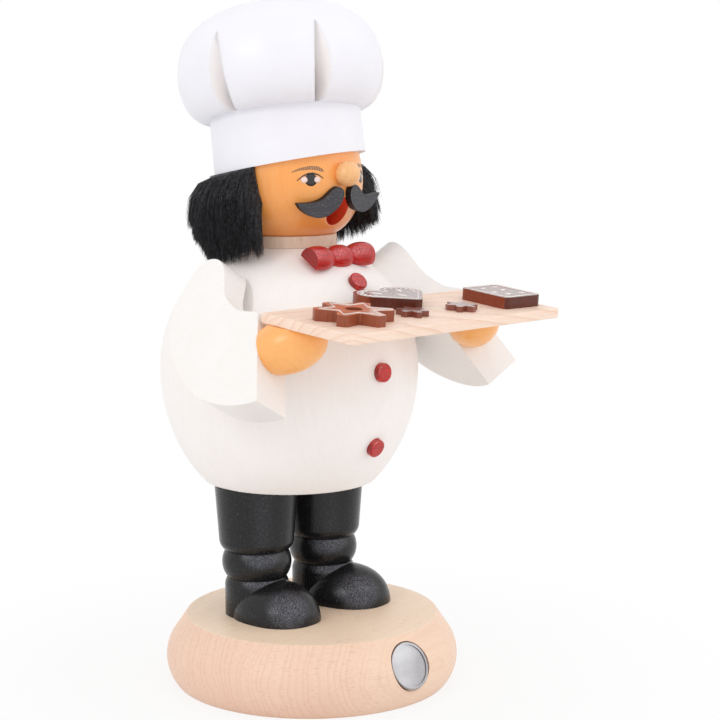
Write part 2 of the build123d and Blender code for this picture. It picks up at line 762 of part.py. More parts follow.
# Tray plane: top face through the middle of the tray
tray_up = Vector(0, -sin(radians(tray_tilt)), cos(radians(tray_tilt)))
tray_plane = Plane(origin=(0, tray_y, tray_z), x_dir=(1, 0, 0), z_dir=tray_up)
with BuildPart() as tray:
    with Locations(tray_plane.location):
        Box(tray_width, tray_depth, tray_thickness, align=(Align.CENTER, Align.CENTER, Align.MAX))
    fillet(tray.edges(), tray_edge_round)
save(tray.part, "tray")

# Hands: egg shapes trimmed flat against the cuff and under the tray
for side, name in ((-1, "right_hand"), (1, "left_hand")):
    ahead = sleeve_ahead[side]
    hand_centre = Vector(side * hand_x, hand_y, hand_z)
    palm_axis = Vector(
        -side * sin(radians(hand_turn)) * cos(radians(hand_lift)),
        -cos(radians(hand_turn)) * cos(radians(hand_lift)),
        sin(radians(hand_lift)),
    )
    hand_gap = (hand_centre - sleeve_outer[side].origin).dot(ahead)
    hand_root = hand_centre - ahead * hand_gap
    with BuildPart() as hand:
        with BuildSketch(Plane(origin=hand_centre, x_dir=palm_axis, z_dir=palm_axis.cross(Vector(0, 0, 1)))):
            Ellipse(hand_half_length, hand_radius)
            with Locations((0, -hand_radius)):
                Rectangle(4 * hand_half_length, 2 * hand_radius, mode=Mode.SUBTRACT)
        revolve(axis=Axis(hand_centre, palm_axis))
        split(bisect_by=Plane(origin=hand_root, z_dir=ahead), keep=Keep.TOP)
        split(bisect_by=tray_plane.offset(-tray_thickness), keep=Keep.BOTTOM)
        drill(hand_root, ahead, small_dowel_radius + dowel_fit, dowel_depth + glue_room)
    save(hand.part, name)

    with BuildPart() as hand_dowel:
        peg(hand_root - ahead * dowel_depth, ahead, small_dowel_radius, 2 * dowel_depth)
        chamfer(hand_dowel.edges().filter_by(GeomType.CIRCLE), 0.4)
    save(hand_dowel.part, name + "_dowel")


# Gingerbread on the tray
def star_points(tip, valley, half_width, turn):
    points = []
    for arm in range(6):
        angle = radians(turn + 60 * arm)
        notch = angle + radians(30)
        for half in (-half_width, half_width):
            points.append((tip * cos(angle) - half * sin(angle), tip * sin(angle) + half * cos(angle)))
        points.append((valley * cos(notch), valley * sin(notch)))
    return points


def tray_place(place):
    middle = tray_plane.from_local_coords(Vector(place[0], place[1], 0))
    return Plane(origin=middle, x_dir=(1, 0, 0), z_dir=tray_up)


with BuildPart() as gingerbread_star:
    with BuildSketch(tray_place(star_place)):
        Polygon(*star_points(star_tip, star_valley, star_tip_half_width, star_turn), align=None)
        fillet(vertices(), star_corner)
        Circle(star_hole_radius, mode=Mode.SUBTRACT)
    extrude(amount=star_thickness)
save(gingerbread_star.part, "gingerbread_star")

heart_far = hypot(heart_lobe_reach, heart_lobe_offset)
heart_open = atan2(heart_lobe_offset, heart_lobe_reach) + asin(heart_lobe_radius / heart_far)
heart_side = sqrt(heart_far ** 2 - heart_lobe_radius ** 2)
heart_notch = heart_lobe_reach + sqrt(heart_lobe_radius ** 2 - heart_lobe_offset ** 2)
with BuildPart() as gingerbread_heart:
    with BuildSketch(tray_place(heart_place)):
        with BuildLine():
            for sign in (-1, 1):
                touch = (sign * heart_side * sin(heart_open), heart_side * cos(heart_open))
                Line((0, 0), touch)
                crest = (
                    sign * (heart_lobe_offset + heart_lobe_radius * sin(0.5)),
                    heart_lobe_reach + heart_lobe_radius * cos(0.5),
                )
                ThreePointArc(touch, crest, (0, heart_notch))
        make_face()
        fillet(vertices().sort_by(Axis.Y)[0], heart_tip_radius)
    extrude(amount=heart_thickness)
save(gingerbread_heart.part, "gingerbread_heart")

with BuildPart() as gingerbread_slab:
    with BuildSketch(tray_place(slab_place)):
        RectangleRounded(slab_width, slab_depth, slab_corner, rotation=slab_turn)
    extrude(amount=slab_thickness)
save(gingerbread_slab.part, "gingerbread_slab")

for number in range(2):
    rim = star_points(small_star_tip, small_star_valley, small_star_tip_half_width, small_star_turns[number])
    with BuildPart() as small_star:
        with BuildSketch(tray_place(small_star_places[number])):
            Polygon(*rim, align=None)
        extrude(amount=small_star_thickness)
    save(small_star.part, "small_star_" + str(number + 1))

# Bow tie: three turned beads sawn in half, hollowed to sit on the chest
bow_centre = Vector(bow_x, body_y - bow_ahead, collar_low - bow_below_collar)
bow_along = Vector(cos(radians(bow_turn)), sin(radians(bow_turn)), 0)
bow_front = facing(bow_turn)
bow_down = bow_front * -cos(radians(bow_back_tilt)) - Vector(0, 0, sin(radians(bow_back_tilt)))
bow_middle = 0.5 * (bow_groove + bow_half_length)
with BuildPart() as bow_tie:
    with BuildSketch(Plane(origin=bow_centre, x_dir=bow_along, z_dir=bow_front)):
        with BuildLine():
            ThreePointArc(
                (-bow_groove, bow_groove_radius), (0, bow_knot_radius), (bow_groove, bow_groove_radius)
            )
            for sign in (-1, 1):
                ThreePointArc(
                    (sign * bow_groove, bow_groove_radius),
                    (sign * bow_middle, bow_lobe_radius),
                    (sign * bow_half_length, bow_end_radius),
                )
                Line((sign * bow_half_length, bow_end_radius), (sign * bow_half_length, 0))
            Line((-bow_half_length, 0), (bow_half_length, 0))
        make_face()
    revolve(axis=Axis(bow_centre, bow_along))
    bow_rims = bow_tie.edges().filter_by(GeomType.CIRCLE).sort_by(Axis(bow_centre, bow_along))
    fillet([bow_rims[0], bow_rims[-1]], bow_end_round)
    split(bisect_by=Plane(origin=bow_centre + bow_down * bow_back, z_dir=bow_down), keep=Keep.BOTTOM)
    add(belly_blank.part, mode=Mode.SUBTRACT)
save(bow_tie.part, "bow_tie")

# Hair: plain strip round the back of the head, resting under the hat
with BuildPart() as hair:
    with BuildSketch(Plane.XY.offset(hair_low)):
        with Locations((0, body_y)):
            Circle(hair_radius)
            Circle(hair_inner_radius, mode=Mode.SUBTRACT)
        with BuildLine():
            far = 60.0
            left = facing(head_turn + hair_front_turn) * far
            right = facing(head_turn - hair_front_turn) * far
            Polyline(
                (0, body_y),
                (left.X, body_y + left.Y),
                (left.X, body_y - far),
                (right.X, body_y - far),
                (right.X, body_y + right.Y),
                (0, body_y),
            )
        make_face(mode=Mode.SUBTRACT)
    extrude(amount=40)
    split(bisect_by=hat_seat_plane, keep=Keep.BOTTOM)
    add(head_blank.part, mode=Mode.SUBTRACT)
save(hair.part, "hair")
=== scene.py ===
import bpy
import bmesh
from math import cos, degrees, pi, radians, sin, sqrt
from random import Random
from types import SimpleNamespace
from mathutils import Euler, Matrix, Vector
from mathutils.noise import noise


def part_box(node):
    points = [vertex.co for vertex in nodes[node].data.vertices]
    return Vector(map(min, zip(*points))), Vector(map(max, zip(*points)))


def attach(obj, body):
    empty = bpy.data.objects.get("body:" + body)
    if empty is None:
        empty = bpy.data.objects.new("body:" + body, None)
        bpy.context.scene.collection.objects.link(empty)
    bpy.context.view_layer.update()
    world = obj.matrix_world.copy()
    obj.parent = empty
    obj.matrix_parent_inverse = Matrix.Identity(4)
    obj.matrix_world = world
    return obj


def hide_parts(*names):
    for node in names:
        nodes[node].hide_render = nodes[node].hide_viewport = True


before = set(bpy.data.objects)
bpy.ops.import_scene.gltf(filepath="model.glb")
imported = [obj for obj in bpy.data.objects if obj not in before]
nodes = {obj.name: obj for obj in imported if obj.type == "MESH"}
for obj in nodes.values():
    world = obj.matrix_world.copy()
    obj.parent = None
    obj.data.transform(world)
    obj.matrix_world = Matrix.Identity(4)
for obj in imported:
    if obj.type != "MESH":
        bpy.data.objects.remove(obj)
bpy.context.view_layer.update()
MM = 0.001

# Sizes shared with the solids, in millimetres and degrees
BODY_Y = 9.3
HEAD_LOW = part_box("head")[0].z / MM
HEAD_TURN = 3.0
HEAD_STATIONS = [(0.0, 13.4), (2.2, 16.6), (6.4, 19.5), (12.8, 21.5), (19.1, 21.3), (26.0, 20.0)]
MOUTH_HEIGHT = 7.2
MOUTH_RADIUS = 4.1
HAT_SEAT = (0.0, 8.3, HEAD_LOW + 19.95)
HAT_SEAT_LEAN = (10.7, -3.2)
HAT_FOOT = Vector((0.0, 8.3, HEAD_LOW + 18.85))
HAT_LEAN = (10.8, 2.0)
BAND_HEIGHT = 15.1
CROWN_RADIUS = 29.9
CROWN_FOOT_RADIUS = 22.1
CROWN_SWELL = 12.2
CROWN_HEIGHT = 33.0
CROWN_POWERS = (2.0, 2.4)
TRAY_TILT = 4.5
TRAY_RISE = 1.37
TRAY_MIDDLE = (0.0, -41.7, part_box("tray")[1].z / MM - TRAY_RISE)


def paint(red, green, blue):
    """Screen colour, 0 to 255, as a linear colour."""
    linear = []
    for value in (red, green, blue):
        share = value / 255
        linear.append(share / 12.92 if share <= 0.04045 else ((share + 0.055) / 1.055) ** 2.4)
    return (*linear, 1.0)


# Node helpers
def put(tree, kind, feeds=None, **settings):
    """New node: settings are its properties, feeds are values or links for its inputs."""
    made = tree.nodes.new(kind)
    for key, value in settings.items():
        setattr(made, key, value)
    for key, value in (feeds or {}).items():
        if isinstance(value, bpy.types.NodeSocket):
            tree.links.new(value, made.inputs[key])
        else:
            made.inputs[key].default_value = value
    return made


def maths(tree, operation, *values):
    return put(tree, "ShaderNodeMath", dict(enumerate(values)), operation=operation).outputs[0]


def vectors(tree, operation, first, second):
    return put(tree, "ShaderNodeVectorMath", {0: first, 1: second}, operation=operation).outputs[0]


def scaled(tree, vector, amount):
    return put(tree, "ShaderNodeVectorMath", {0: vector, "Scale": amount}, operation="SCALE").outputs[0]


def dot(tree, vector, aim):
    return put(tree, "ShaderNodeVectorMath", {0: vector, 1: aim}, operation="DOT_PRODUCT").outputs[1]


def length(tree, vector):
    return put(tree, "ShaderNodeVectorMath", {0: vector}, operation="LENGTH").outputs[1]


def joined(tree, *values):
    return put(tree, "ShaderNodeCombineXYZ", dict(enumerate(values))).outputs[0]


def split(tree, vector):
    return put(tree, "ShaderNodeSeparateXYZ", {0: vector}).outputs


def mixed(tree, share, first, second):
    return put(tree, "ShaderNodeMix", {0: share, 6: first, 7: second}, data_type="RGBA").outputs[2]


def between(tree, value, low, high, to_low=0.0, to_high=1.0):
    feeds = {"Value": value, "From Min": low, "From Max": high, "To Min": to_low, "To Max": to_high}
    return put(tree, "ShaderNodeMapRange", feeds, interpolation_type="SMOOTHSTEP").outputs[0]


def speckle(tree, vector, scale, detail=2.0, roughness=0.5, output=0):
    feeds = {"Vector": vector, "Scale": scale, "Detail": detail, "Roughness": roughness}
    return put(tree, "ShaderNodeTexNoise", feeds).outputs[output]


def new_group(name, vector_names, numbers, results):
    """New node group, with the sockets that its inside reads and fills."""
    tree = bpy.data.node_groups.new(name, "ShaderNodeTree")
    for label in vector_names:
        tree.interface.new_socket(label, in_out="INPUT", socket_type="NodeSocketVector")
    for label, value in numbers.items():
        socket = tree.interface.new_socket(label, in_out="INPUT", socket_type="NodeSocketFloat")
        socket.default_value = value
    for label in results:
        tree.interface.new_socket(label, in_out="OUTPUT", socket_type="NodeSocketFloat")
    given = tree.nodes.new("NodeGroupInput").outputs
    result = tree.nodes.new("NodeGroupOutput").inputs
    return tree, given, result


def use_group(tree, group, feeds):
    return put(tree, "ShaderNodeGroup", feeds, node_tree=group).outputs


# Shared effects: noise scales are per millimetre
DRIFT_STRETCH = (0.3, 1.0, 1.0)
DRIFT_SCALE = 0.05
DRIFT_REACH = 8.0
ACROSS_PITH = (0.0, 1.0, 1.0)
UNEVEN_SCALE = 0.23
UNEVEN_REACH = 3.0
RING_END = 0.86
SEASON_SCALE = 3.7
SEASON_SPAN = (0.2, 0.8)
SEASON_DEPTH = (0.5, 1.0)
FIBRE_STRETCH = (0.04, 1.0, 1.0)
FIBRE_SCALE = 1.6
FIBRE_SPAN = (0.25, 0.75)
FLECK_SCALE = 0.9
FLECK_THIN = 5.0
FLECK_SPAN = (0.62, 0.72)
CLOUD_SCALE = 0.045
SMUDGE_SCALE = 0.07
SOFT_SPAN = (0.3, 0.7)
# Painted highlight: lighter speckles on faces that look to the front and up, toward the lamps' reflection
SHEEN_AIM = (-0.46, -0.73, 0.5)
SHEEN_EDGE = 0.76
SHEEN_SPAN = (0.42, 0.66)
SHEEN_LEAST = 0.15


def make_wood_figure():
    """Growth rings round a pith along X, fibre streaks along X and rays in thin sheets."""
    sizes = {"Ring Width": 2.0, "Ring Edge": 2.4, "Wander": 1.0, "Fleck Length": 2.0}
    tree, given, result = new_group("wood_figure", ["Vector"], sizes, ["Rings", "Fibre", "Flecks", "Cloud"])
    grain = scaled(tree, given["Vector"], 1 / MM)

    drift = speckle(tree, vectors(tree, "MULTIPLY", grain, DRIFT_STRETCH), DRIFT_SCALE, output=1)
    shift = vectors(tree, "SUBTRACT", drift, (0.5, 0.5, 0.5))
    shift = scaled(tree, shift, maths(tree, "MULTIPLY", given["Wander"], DRIFT_REACH))
    grown = vectors(tree, "ADD", grain, shift)
    radial = length(tree, vectors(tree, "MULTIPLY", grown, ACROSS_PITH))
    uneven = speckle(tree, joined(tree, radial), UNEVEN_SCALE, 1.0)
    phase = maths(tree, "DIVIDE", radial, given["Ring Width"])
    phase = maths(tree, "MULTIPLY_ADD", uneven, UNEVEN_REACH, phase)
    year = maths(tree, "FRACT", phase)
    rise = maths(tree, "POWER", year, given["Ring Edge"])
    fall = between(tree, year, RING_END, 1.0, 1.0, 0.0)
    season = speckle(tree, joined(tree, maths(tree, "FLOOR", phase)), SEASON_SCALE, 0.0)
    depth = between(tree, season, *SEASON_SPAN, *SEASON_DEPTH)
    rings = maths(tree, "MULTIPLY", maths(tree, "MULTIPLY", rise, fall), depth)
    tree.links.new(rings, result["Rings"])

    streak = speckle(tree, vectors(tree, "MULTIPLY", grain, FIBRE_STRETCH), FIBRE_SCALE, 4.0, 0.65)
    tree.links.new(between(tree, streak, *FIBRE_SPAN), result["Fibre"])

    share = maths(tree, "DIVIDE", FLECK_SCALE, given["Fleck Length"])
    dash = vectors(tree, "MULTIPLY", grain, joined(tree, share, share, FLECK_THIN))
    tree.links.new(between(tree, speckle(tree, dash, 1.0, 1.0), *FLECK_SPAN), result["Flecks"])

    tree.links.new(between(tree, speckle(tree, grain, CLOUD_SCALE, 3.0), *SOFT_SPAN), result["Cloud"])
    return tree


def make_finish_tooth():
    """Fine tooth of a sprayed or brushed finish, and soft smudges."""
    tree, given, result = new_group("finish_tooth", ["Vector"], {"Grit": 3.0}, ["Tooth", "Smudge"])
    surface = scaled(tree, given["Vector"], 1 / MM)
    tree.links.new(speckle(tree, surface, given["Grit"], 3.0, 0.6), result["Tooth"])
    smudge = between(tree, speckle(tree, surface, SMUDGE_SCALE, 3.0), *SOFT_SPAN)
    tree.links.new(smudge, result["Smudge"])
    return tree


def make_painted_sheen():
    """Painted highlight: lighter speckles on faces that look to the front and up, where the lamps'
    reflection falls.
    """
    tree, given, result = new_group("painted_sheen", ["Vector", "Normal"], {"Grit": 3.0}, ["Rub"])
    facing_lamp = between(tree, dot(tree, given["Normal"], SHEEN_AIM), SHEEN_EDGE, 1.0)
    surface = scaled(tree, given["Vector"], 1 / MM)
    grains = between(tree, speckle(tree, surface, given["Grit"], 2.0, 0.7), *SHEEN_SPAN, SHEEN_LEAST, 1.0)
    tree.links.new(maths(tree, "MULTIPLY", facing_lamp, grains), result["Rub"])
    return tree


wood_figure = make_wood_figure()
finish_tooth = make_finish_tooth()
painted_sheen = make_painted_sheen()


# Finishes: polish is the spread of the roughness, bumps are in millimetres
WOOD_POLISH = (-0.05, 0.07)
WOOD_BUMP = 0.12
FLECK_RELIEF = 0.6
GRIT_RELIEF = 5.0
LACQUER_POLISH = (-0.04, 0.05)
LACQUER_BUMP = 0.05
BROW_SLANT = (2400.0, -2400.0, 1100.0)
BROW_STROKES = 3.0
BROW_WOBBLE = 3.0
BROW_WOBBLE_SCALE = 900.0


def new_finish(name, roughness, coat=0.0, metallic=0.0, shine=0.5, coat_roughness=0.12):
    """Material with its shader, and the object's own coordinates and normal."""
    material = bpy.data.materials.new(name)
    material.use_nodes = True
    tree = material.node_tree
    shader = tree.nodes["Principled BSDF"]
    shader.inputs["Roughness"].default_value = roughness
    shader.inputs["Metallic"].default_value = metallic
    shader.inputs["Specular IOR Level"].default_value = shine
    shader.inputs["Coat Weight"].default_value = coat
    shader.inputs["Coat Roughness"].default_value = coat_roughness
    aids = tree.nodes.new("ShaderNodeTexCoord").outputs
    return SimpleNamespace(
        material=material, tree=tree, shader=shader, place=aids["Object"], normal=aids["Normal"],
    )


def feed(finish, label, socket):
    finish.tree.links.new(socket, finish.shader.inputs[label])


def add_tooth(finish, height, strength, distance):
    feeds = {"Height": height, "Strength": strength, "Distance": distance * MM}
    feed(finish, "Normal", put(finish.tree, "ShaderNodeBump", feeds).outputs[0])


def wood_finish(name, pale, deep, fleck, pith, turn, shares=(0.4, 0.3, 0.4, 0.2), ring_width=2.0,
                ring_edge=2.4, wander=1.0, fleck_length=2.0, roughness=0.45, coat=0.0, tooth=0.15,
                shine=0.5, grit=0.0, coat_roughness=0.12, sheen_tone=None, sheen_share=0.0, sheen_grit=3.0):
    """Bare or stained wood.

    pith is a point on the pith line in millimetres and turn aims X along the fibre in degrees;
    shares are those of rings, fibre, flecks and clouds; the last three arguments give a painted highlight,
    a tone speckled over faces that look to the front and up.
    """
    finish = new_finish(name, roughness, coat, shine=shine, coat_roughness=coat_roughness)
    tree, place = finish.tree, finish.place
    board = put(tree, "ShaderNodeMapping", {
        "Vector": place, "Location": [value * MM for value in pith],
        "Rotation": [radians(value) for value in turn],
    }, vector_type="TEXTURE").outputs[0]
    figure = use_group(tree, wood_figure, {
        "Vector": board, "Ring Width": ring_width, "Ring Edge": ring_edge, "Wander": wander,
        "Fleck Length": fleck_length,
    })
    colour = paint(*pale)
    ring_share, fibre_share, fleck_share, cloud_share = shares
    for layer, share, tone in (
        ("Rings", ring_share, deep), ("Fibre", fibre_share, deep),
        ("Cloud", cloud_share, deep), ("Flecks", fleck_share, fleck),
    ):
        colour = mixed(tree, maths(tree, "MULTIPLY", figure[layer], share), colour, paint(*tone))
    # Painted highlight: a lighter tone speckled over faces that look to the front and up
    if sheen_tone:
        feeds = {"Vector": place, "Normal": finish.normal, "Grit": sheen_grit}
        painted_highlight = use_group(tree, painted_sheen, feeds)["Rub"]
        colour = mixed(tree, maths(tree, "MULTIPLY", painted_highlight, sheen_share), colour, paint(*sheen_tone))
    finish.colour = colour
    feed(finish, "Base Color", colour)
    polish = [roughness + change for change in WOOD_POLISH]
    feed(finish, "Roughness", between(tree, figure["Fibre"], 0.0, 1.0, *polish))
    pits = maths(tree, "MULTIPLY", figure["Flecks"], FLECK_RELIEF)
    relief = maths(tree, "SUBTRACT", figure["Fibre"], pits)
    if grit:
        grains = use_group(tree, finish_tooth, {"Vector": place, "Grit": grit})["Tooth"]
        relief = maths(tree, "MULTIPLY_ADD", grains, GRIT_RELIEF, relief)
    add_tooth(finish, relief, tooth, WOOD_BUMP)
    return finish


def smudged(finish, grit, pale, deep):
    """Lay two tones over a finish in soft smudges, and give its tooth and smudges."""
    skin = use_group(finish.tree, finish_tooth, {"Vector": finish.place, "Grit": grit})
    feed(finish, "Base Color", mixed(finish.tree, skin["Smudge"], paint(*pale), paint(*deep)))
    return skin


def lacquer_finish(name, pale, deep, roughness, coat, grit, tooth):
    finish = new_finish(name, roughness, coat)
    skin = smudged(finish, grit, pale, deep)
    polish = [roughness + change for change in LACQUER_POLISH]
    feed(finish, "Roughness", between(finish.tree, skin["Smudge"], 0.0, 1.0, *polish))
    add_tooth(finish, skin["Tooth"], tooth, LACQUER_BUMP)
    return finish


def metal_finish(name, pale, deep, grit, smooth, rough, tooth=0.0):
    finish = new_finish(name, smooth, metallic=1.0)
    skin = smudged(finish, grit, pale, deep)
    feed(finish, "Roughness", between(finish.tree, skin["Tooth"], *SOFT_SPAN, smooth, rough))
    if tooth:
        add_tooth(finish, skin["Tooth"], tooth, LACQUER_BUMP)
    return finish


def brow_finish():
    """Printed brow of fine slanting strokes, skin between them."""
    finish = new_finish("brow_paint", 0.45)
    tree = finish.tree
    slant = dot(tree, finish.place, BROW_SLANT)
    wobble = speckle(tree, finish.place, BROW_WOBBLE_SCALE)
    wobble = maths(tree, "MULTIPLY", wobble, BROW_WOBBLE)
    stroke = maths(tree, "SINE", maths(tree, "MULTIPLY_ADD", slant, BROW_STROKES, wobble))
    share = between(tree, stroke, -0.6, 0.7, 0.35, 0.95)
    feed(finish, "Base Color", mixed(tree, share, paint(238, 168, 104), paint(112, 92, 80)))
    return finish


def plush_finish():
    finish = new_finish("plush_black", 0.42, shine=0.35)
    tree = finish.tree
    pile = use_group(tree, finish_tooth, {"Vector": finish.place, "Grit": 1.2})["Tooth"]
    share = between(tree, pile, 0.35, 0.7)
    feed(finish, "Base Color", mixed(tree, share, paint(12, 12, 14), paint(66, 65, 70)))
    return finish


BASE_FIBRE_TURN = 195
base_beech = wood_finish(
    "base_beech", pale=(246, 215, 193), deep=(212, 158, 128), fleck=(206, 156, 126),
    pith=(40, -150, 34), turn=(0, 0, BASE_FIBRE_TURN), shares=(0.62, 0.2, 0.45, 0.16),
    ring_width=1.8, ring_edge=4.0, wander=1.3, fleck_length=2.4, tooth=0.1,
)
collar_beech = wood_finish(
    "collar_beech", pale=(234, 210, 190), deep=(212, 180, 154), fleck=(180, 138, 110),
    pith=(0, 60, 128), turn=(0, 90, 0), shares=(0.3, 0.35, 0.5, 0.2),
    ring_width=1.6, roughness=0.55,
)
jacket_stain = wood_finish(
    "jacket_stain", pale=(252, 248, 246), deep=(240, 231, 225), fleck=(226, 213, 201),
    pith=(0, -70, 92), turn=(0, 90, 0), shares=(0.16, 0.22, 0.1, 0.25),
    ring_width=3.4, wander=1.2, roughness=0.42, coat=0.1, tooth=0.06,
)
sleeve_stain = wood_finish(
    "sleeve_stain", pale=(247, 244, 242), deep=(238, 230, 223), fleck=(229, 216, 204),
    pith=(0, 30, 60), turn=(0, 24, 90), shares=(0.2, 0.22, 0.1, 0.2),
    ring_width=3.0, wander=1.2, roughness=0.42, coat=0.1, tooth=0.06,
)
skin_stain = wood_finish(
    "skin_stain", pale=(255, 182, 104), deep=(250, 152, 64), fleck=(232, 132, 52),
    pith=(0, 90, 140), turn=(0, 90, 0), shares=(0.25, 0.3, 0.12, 0.45),
    ring_width=4.0, wander=1.2, roughness=0.34, coat=0.3, tooth=0.06,
)
hand_stain = wood_finish(
    "hand_stain", pale=(255, 188, 112), deep=(246, 162, 82), fleck=(226, 136, 64),
    pith=(0, 40, 100), turn=(0, 0, 60), shares=(0.25, 0.25, 0.1, 0.3),
    ring_width=3.0, roughness=0.34, coat=0.3, tooth=0.06,
)
nose_stain = wood_finish(
    "nose_stain", pale=(250, 196, 136), deep=(230, 160, 96), fleck=(214, 138, 76),
    pith=(6, -14, 147), turn=(0, 0, 80), shares=(0.35, 0.35, 0.12, 0.2),
    ring_width=1.3, wander=0.6, roughness=0.32, coat=0.3, tooth=0.08,
)
# Boots: black stain with pale pores, and a painted highlight of bluish speckles on the toes and beads
boot_stain = wood_finish(
    "boot_stain", pale=(33, 33, 35), deep=(16, 16, 17), fleck=(118, 114, 106),
    pith=(0, 60, 30), turn=(0, 90, 0), shares=(0.3, 0.5, 0.25, 0.3),
    fleck_length=0.5, roughness=0.22, tooth=0.12, shine=0.3, grit=1.6,
    sheen_tone=(172, 176, 192), sheen_share=0.36, sheen_grit=2.8,
)
tray_pine = wood_finish(
    "tray_pine", pale=(254, 231, 214), deep=(224, 174, 140), fleck=(214, 168, 138),
    pith=(0, -58, 72), turn=(0, 12, 7), shares=(0.75, 0.22, 0.15, 0.1),
    ring_width=2.6, ring_edge=2.6, wander=1.2, fleck_length=4.0, roughness=0.5, tooth=0.14,
)
# Red stain with a painted highlight of pink speckles on the fronts of the bow and buttons
red_stain = wood_finish(
    "red_stain", pale=(222, 40, 34), deep=(112, 4, 8), fleck=(236, 150, 152),
    pith=(0, -14, 110), turn=(0, 0, 0), shares=(0.5, 0.55, 0.2, 0.2),
    ring_width=0.8, wander=0.4, fleck_length=0.6, roughness=0.28, coat=0.3, tooth=0.06, shine=0.3,
    grit=2.4, coat_roughness=0.25, sheen_tone=(252, 176, 180), sheen_share=0.56, sheen_grit=2.4,
)
star_stain = wood_finish(
    "star_stain", pale=(194, 104, 66), deep=(130, 64, 44), fleck=(92, 44, 32),
    pith=(-27, -46, 80), turn=(0, 90, 10), shares=(0.4, 0.55, 0.3, 0.3),
    ring_width=1.0, wander=0.5, fleck_length=1.4, roughness=0.3, tooth=0.3, shine=0.3,
)
biscuit_stain = wood_finish(
    "biscuit_stain", pale=(120, 56, 38), deep=(76, 34, 26), fleck=(60, 28, 22),
    pith=(0, -40, 90), turn=(0, 90, 20), shares=(0.4, 0.6, 0.35, 0.3),
    ring_width=1.0, wander=0.5, fleck_length=1.4, roughness=0.26, tooth=0.22, shine=0.3,
)
small_star_stain = wood_finish(
    "small_star_stain", pale=(150, 80, 62), deep=(96, 44, 34), fleck=(76, 38, 30),
    pith=(0, -40, 90), turn=(0, 90, 70), shares=(0.4, 0.5, 0.3, 0.3),
    ring_width=1.0, wander=0.5, roughness=0.28, coat=0.9, tooth=0.25, shine=0.3,
)
moustache_stain = wood_finish(
    "moustache_stain", pale=(72, 72, 78), deep=(50, 50, 55), fleck=(170, 170, 176),
    pith=(0, 0, 120), turn=(0, 0, 0), shares=(0.2, 0.5, 0.3, 0.3),
    ring_width=1.6, fleck_length=0.5, roughness=0.5, tooth=0.3, shine=0.35,
)
hat_lacquer = lacquer_finish("hat_lacquer", (243, 242, 248), (240, 239, 245), 0.4, 0.0, 0.9, 0.04)
# Painted light: the pleats' paint is paler and warmer, against the shade in them
pleat_painted_light = lacquer_finish("pleat_painted_light", (252, 247, 247), (249, 243, 243), 0.4, 0.0, 0.9, 0.04)
icing_paint = lacquer_finish("icing_paint", (246, 240, 238), (232, 222, 218), 0.5, 0.0, 4.0, 0.2)
lash_paint = lacquer_finish("lash_paint", (52, 46, 46), (66, 58, 56), 0.45, 0.1, 5.0, 0.1)
iris_paint = lacquer_finish("iris_paint", (46, 42, 44), (60, 54, 55), 0.4, 0.15, 5.0, 0.1)
glint_paint = lacquer_finish("glint_paint", (247, 222, 214), (240, 208, 198), 0.45, 0.1, 5.0, 0.1)
coin_pewter = metal_finish("coin_pewter", (196, 195, 198), (160, 158, 160), 2.2, 0.3, 0.48, 0.2)
dish_brass = metal_finish("dish_brass", (206, 176, 116), (160, 126, 78), 1.4, 0.28, 0.45)
plush_black = plush_finish()
brow_paint = brow_finish()


def tone_base(wood):
    """The end grain is pinker; the flat top is yellower, and painted paler as painted light where the body
    above shades it.
    """
    tree = wood.tree
    fibre = (cos(radians(BASE_FIBRE_TURN)), sin(radians(BASE_FIBRE_TURN)), 0)
    endways = maths(tree, "ABSOLUTE", dot(tree, wood.normal, fibre))
    up = split(tree, wood.normal)[2]
    end_grain = between(tree, endways, 0.5, 1.0, 0.0, 0.25)
    side_grain = between(tree, endways, 0.25, 0.7, 0.5, 0.0)
    side_grain = maths(tree, "MULTIPLY", side_grain, between(tree, up, 0.6, 0.9, 1.0, 0.0))
    # Painted light: the flat top is painted paler where the body above shades it
    painted_light_top = between(tree, up, 0.75, 0.97, 0.0, 0.5)
    toned = mixed(tree, end_grain, wood.colour, paint(232, 184, 160))
    toned = mixed(tree, side_grain, toned, paint(246, 216, 190))
    feed(wood, "Base Color", mixed(tree, painted_light_top, toned, paint(255, 238, 210)))


LIP_WALL = 0.12
LIP_RIM = (0.22, 0.34)
CHIN_HEIGHT = 12.0


def tone_head(wood):
    """The mouth's wall is painted red brown, made lighter as painted light against the shade in the hole;
    its rim is pale and the chin is darker.
    """
    tree = wood.tree
    lips = put(tree, "ShaderNodeMapping", {
        "Vector": wood.place, "Location": (0, BODY_Y * MM, (HEAD_LOW + MOUTH_HEIGHT) * MM),
        "Rotation": (0, 0, radians(HEAD_TURN)),
    }, vector_type="TEXTURE").outputs[0]
    off_axis = length(tree, vectors(tree, "MULTIPLY", lips, (1.0, 0.0, 1.0)))
    wall = between(tree, off_axis, MOUTH_RADIUS * MM, (MOUTH_RADIUS + LIP_WALL) * MM, 1.0, 0.0)
    rim_span = [(MOUTH_RADIUS + width) * MM for width in LIP_RIM]
    rim = between(tree, off_axis, *rim_span, 0.75, 0.0)
    level = maths(tree, "DIVIDE", split(tree, wood.place)[2], MM)
    chin = between(tree, level, HEAD_LOW, HEAD_LOW + CHIN_HEIGHT, 0.55, 0.0)
    toned = mixed(tree, chin, wood.colour, paint(228, 136, 64))
    toned = mixed(tree, rim, toned, paint(250, 208, 160))
    # Painted light: the mouth's red brown is lighter, against the shade in the hole
    feed(wood, "Base Color", mixed(tree, wall, toned, paint(246, 96, 60)))


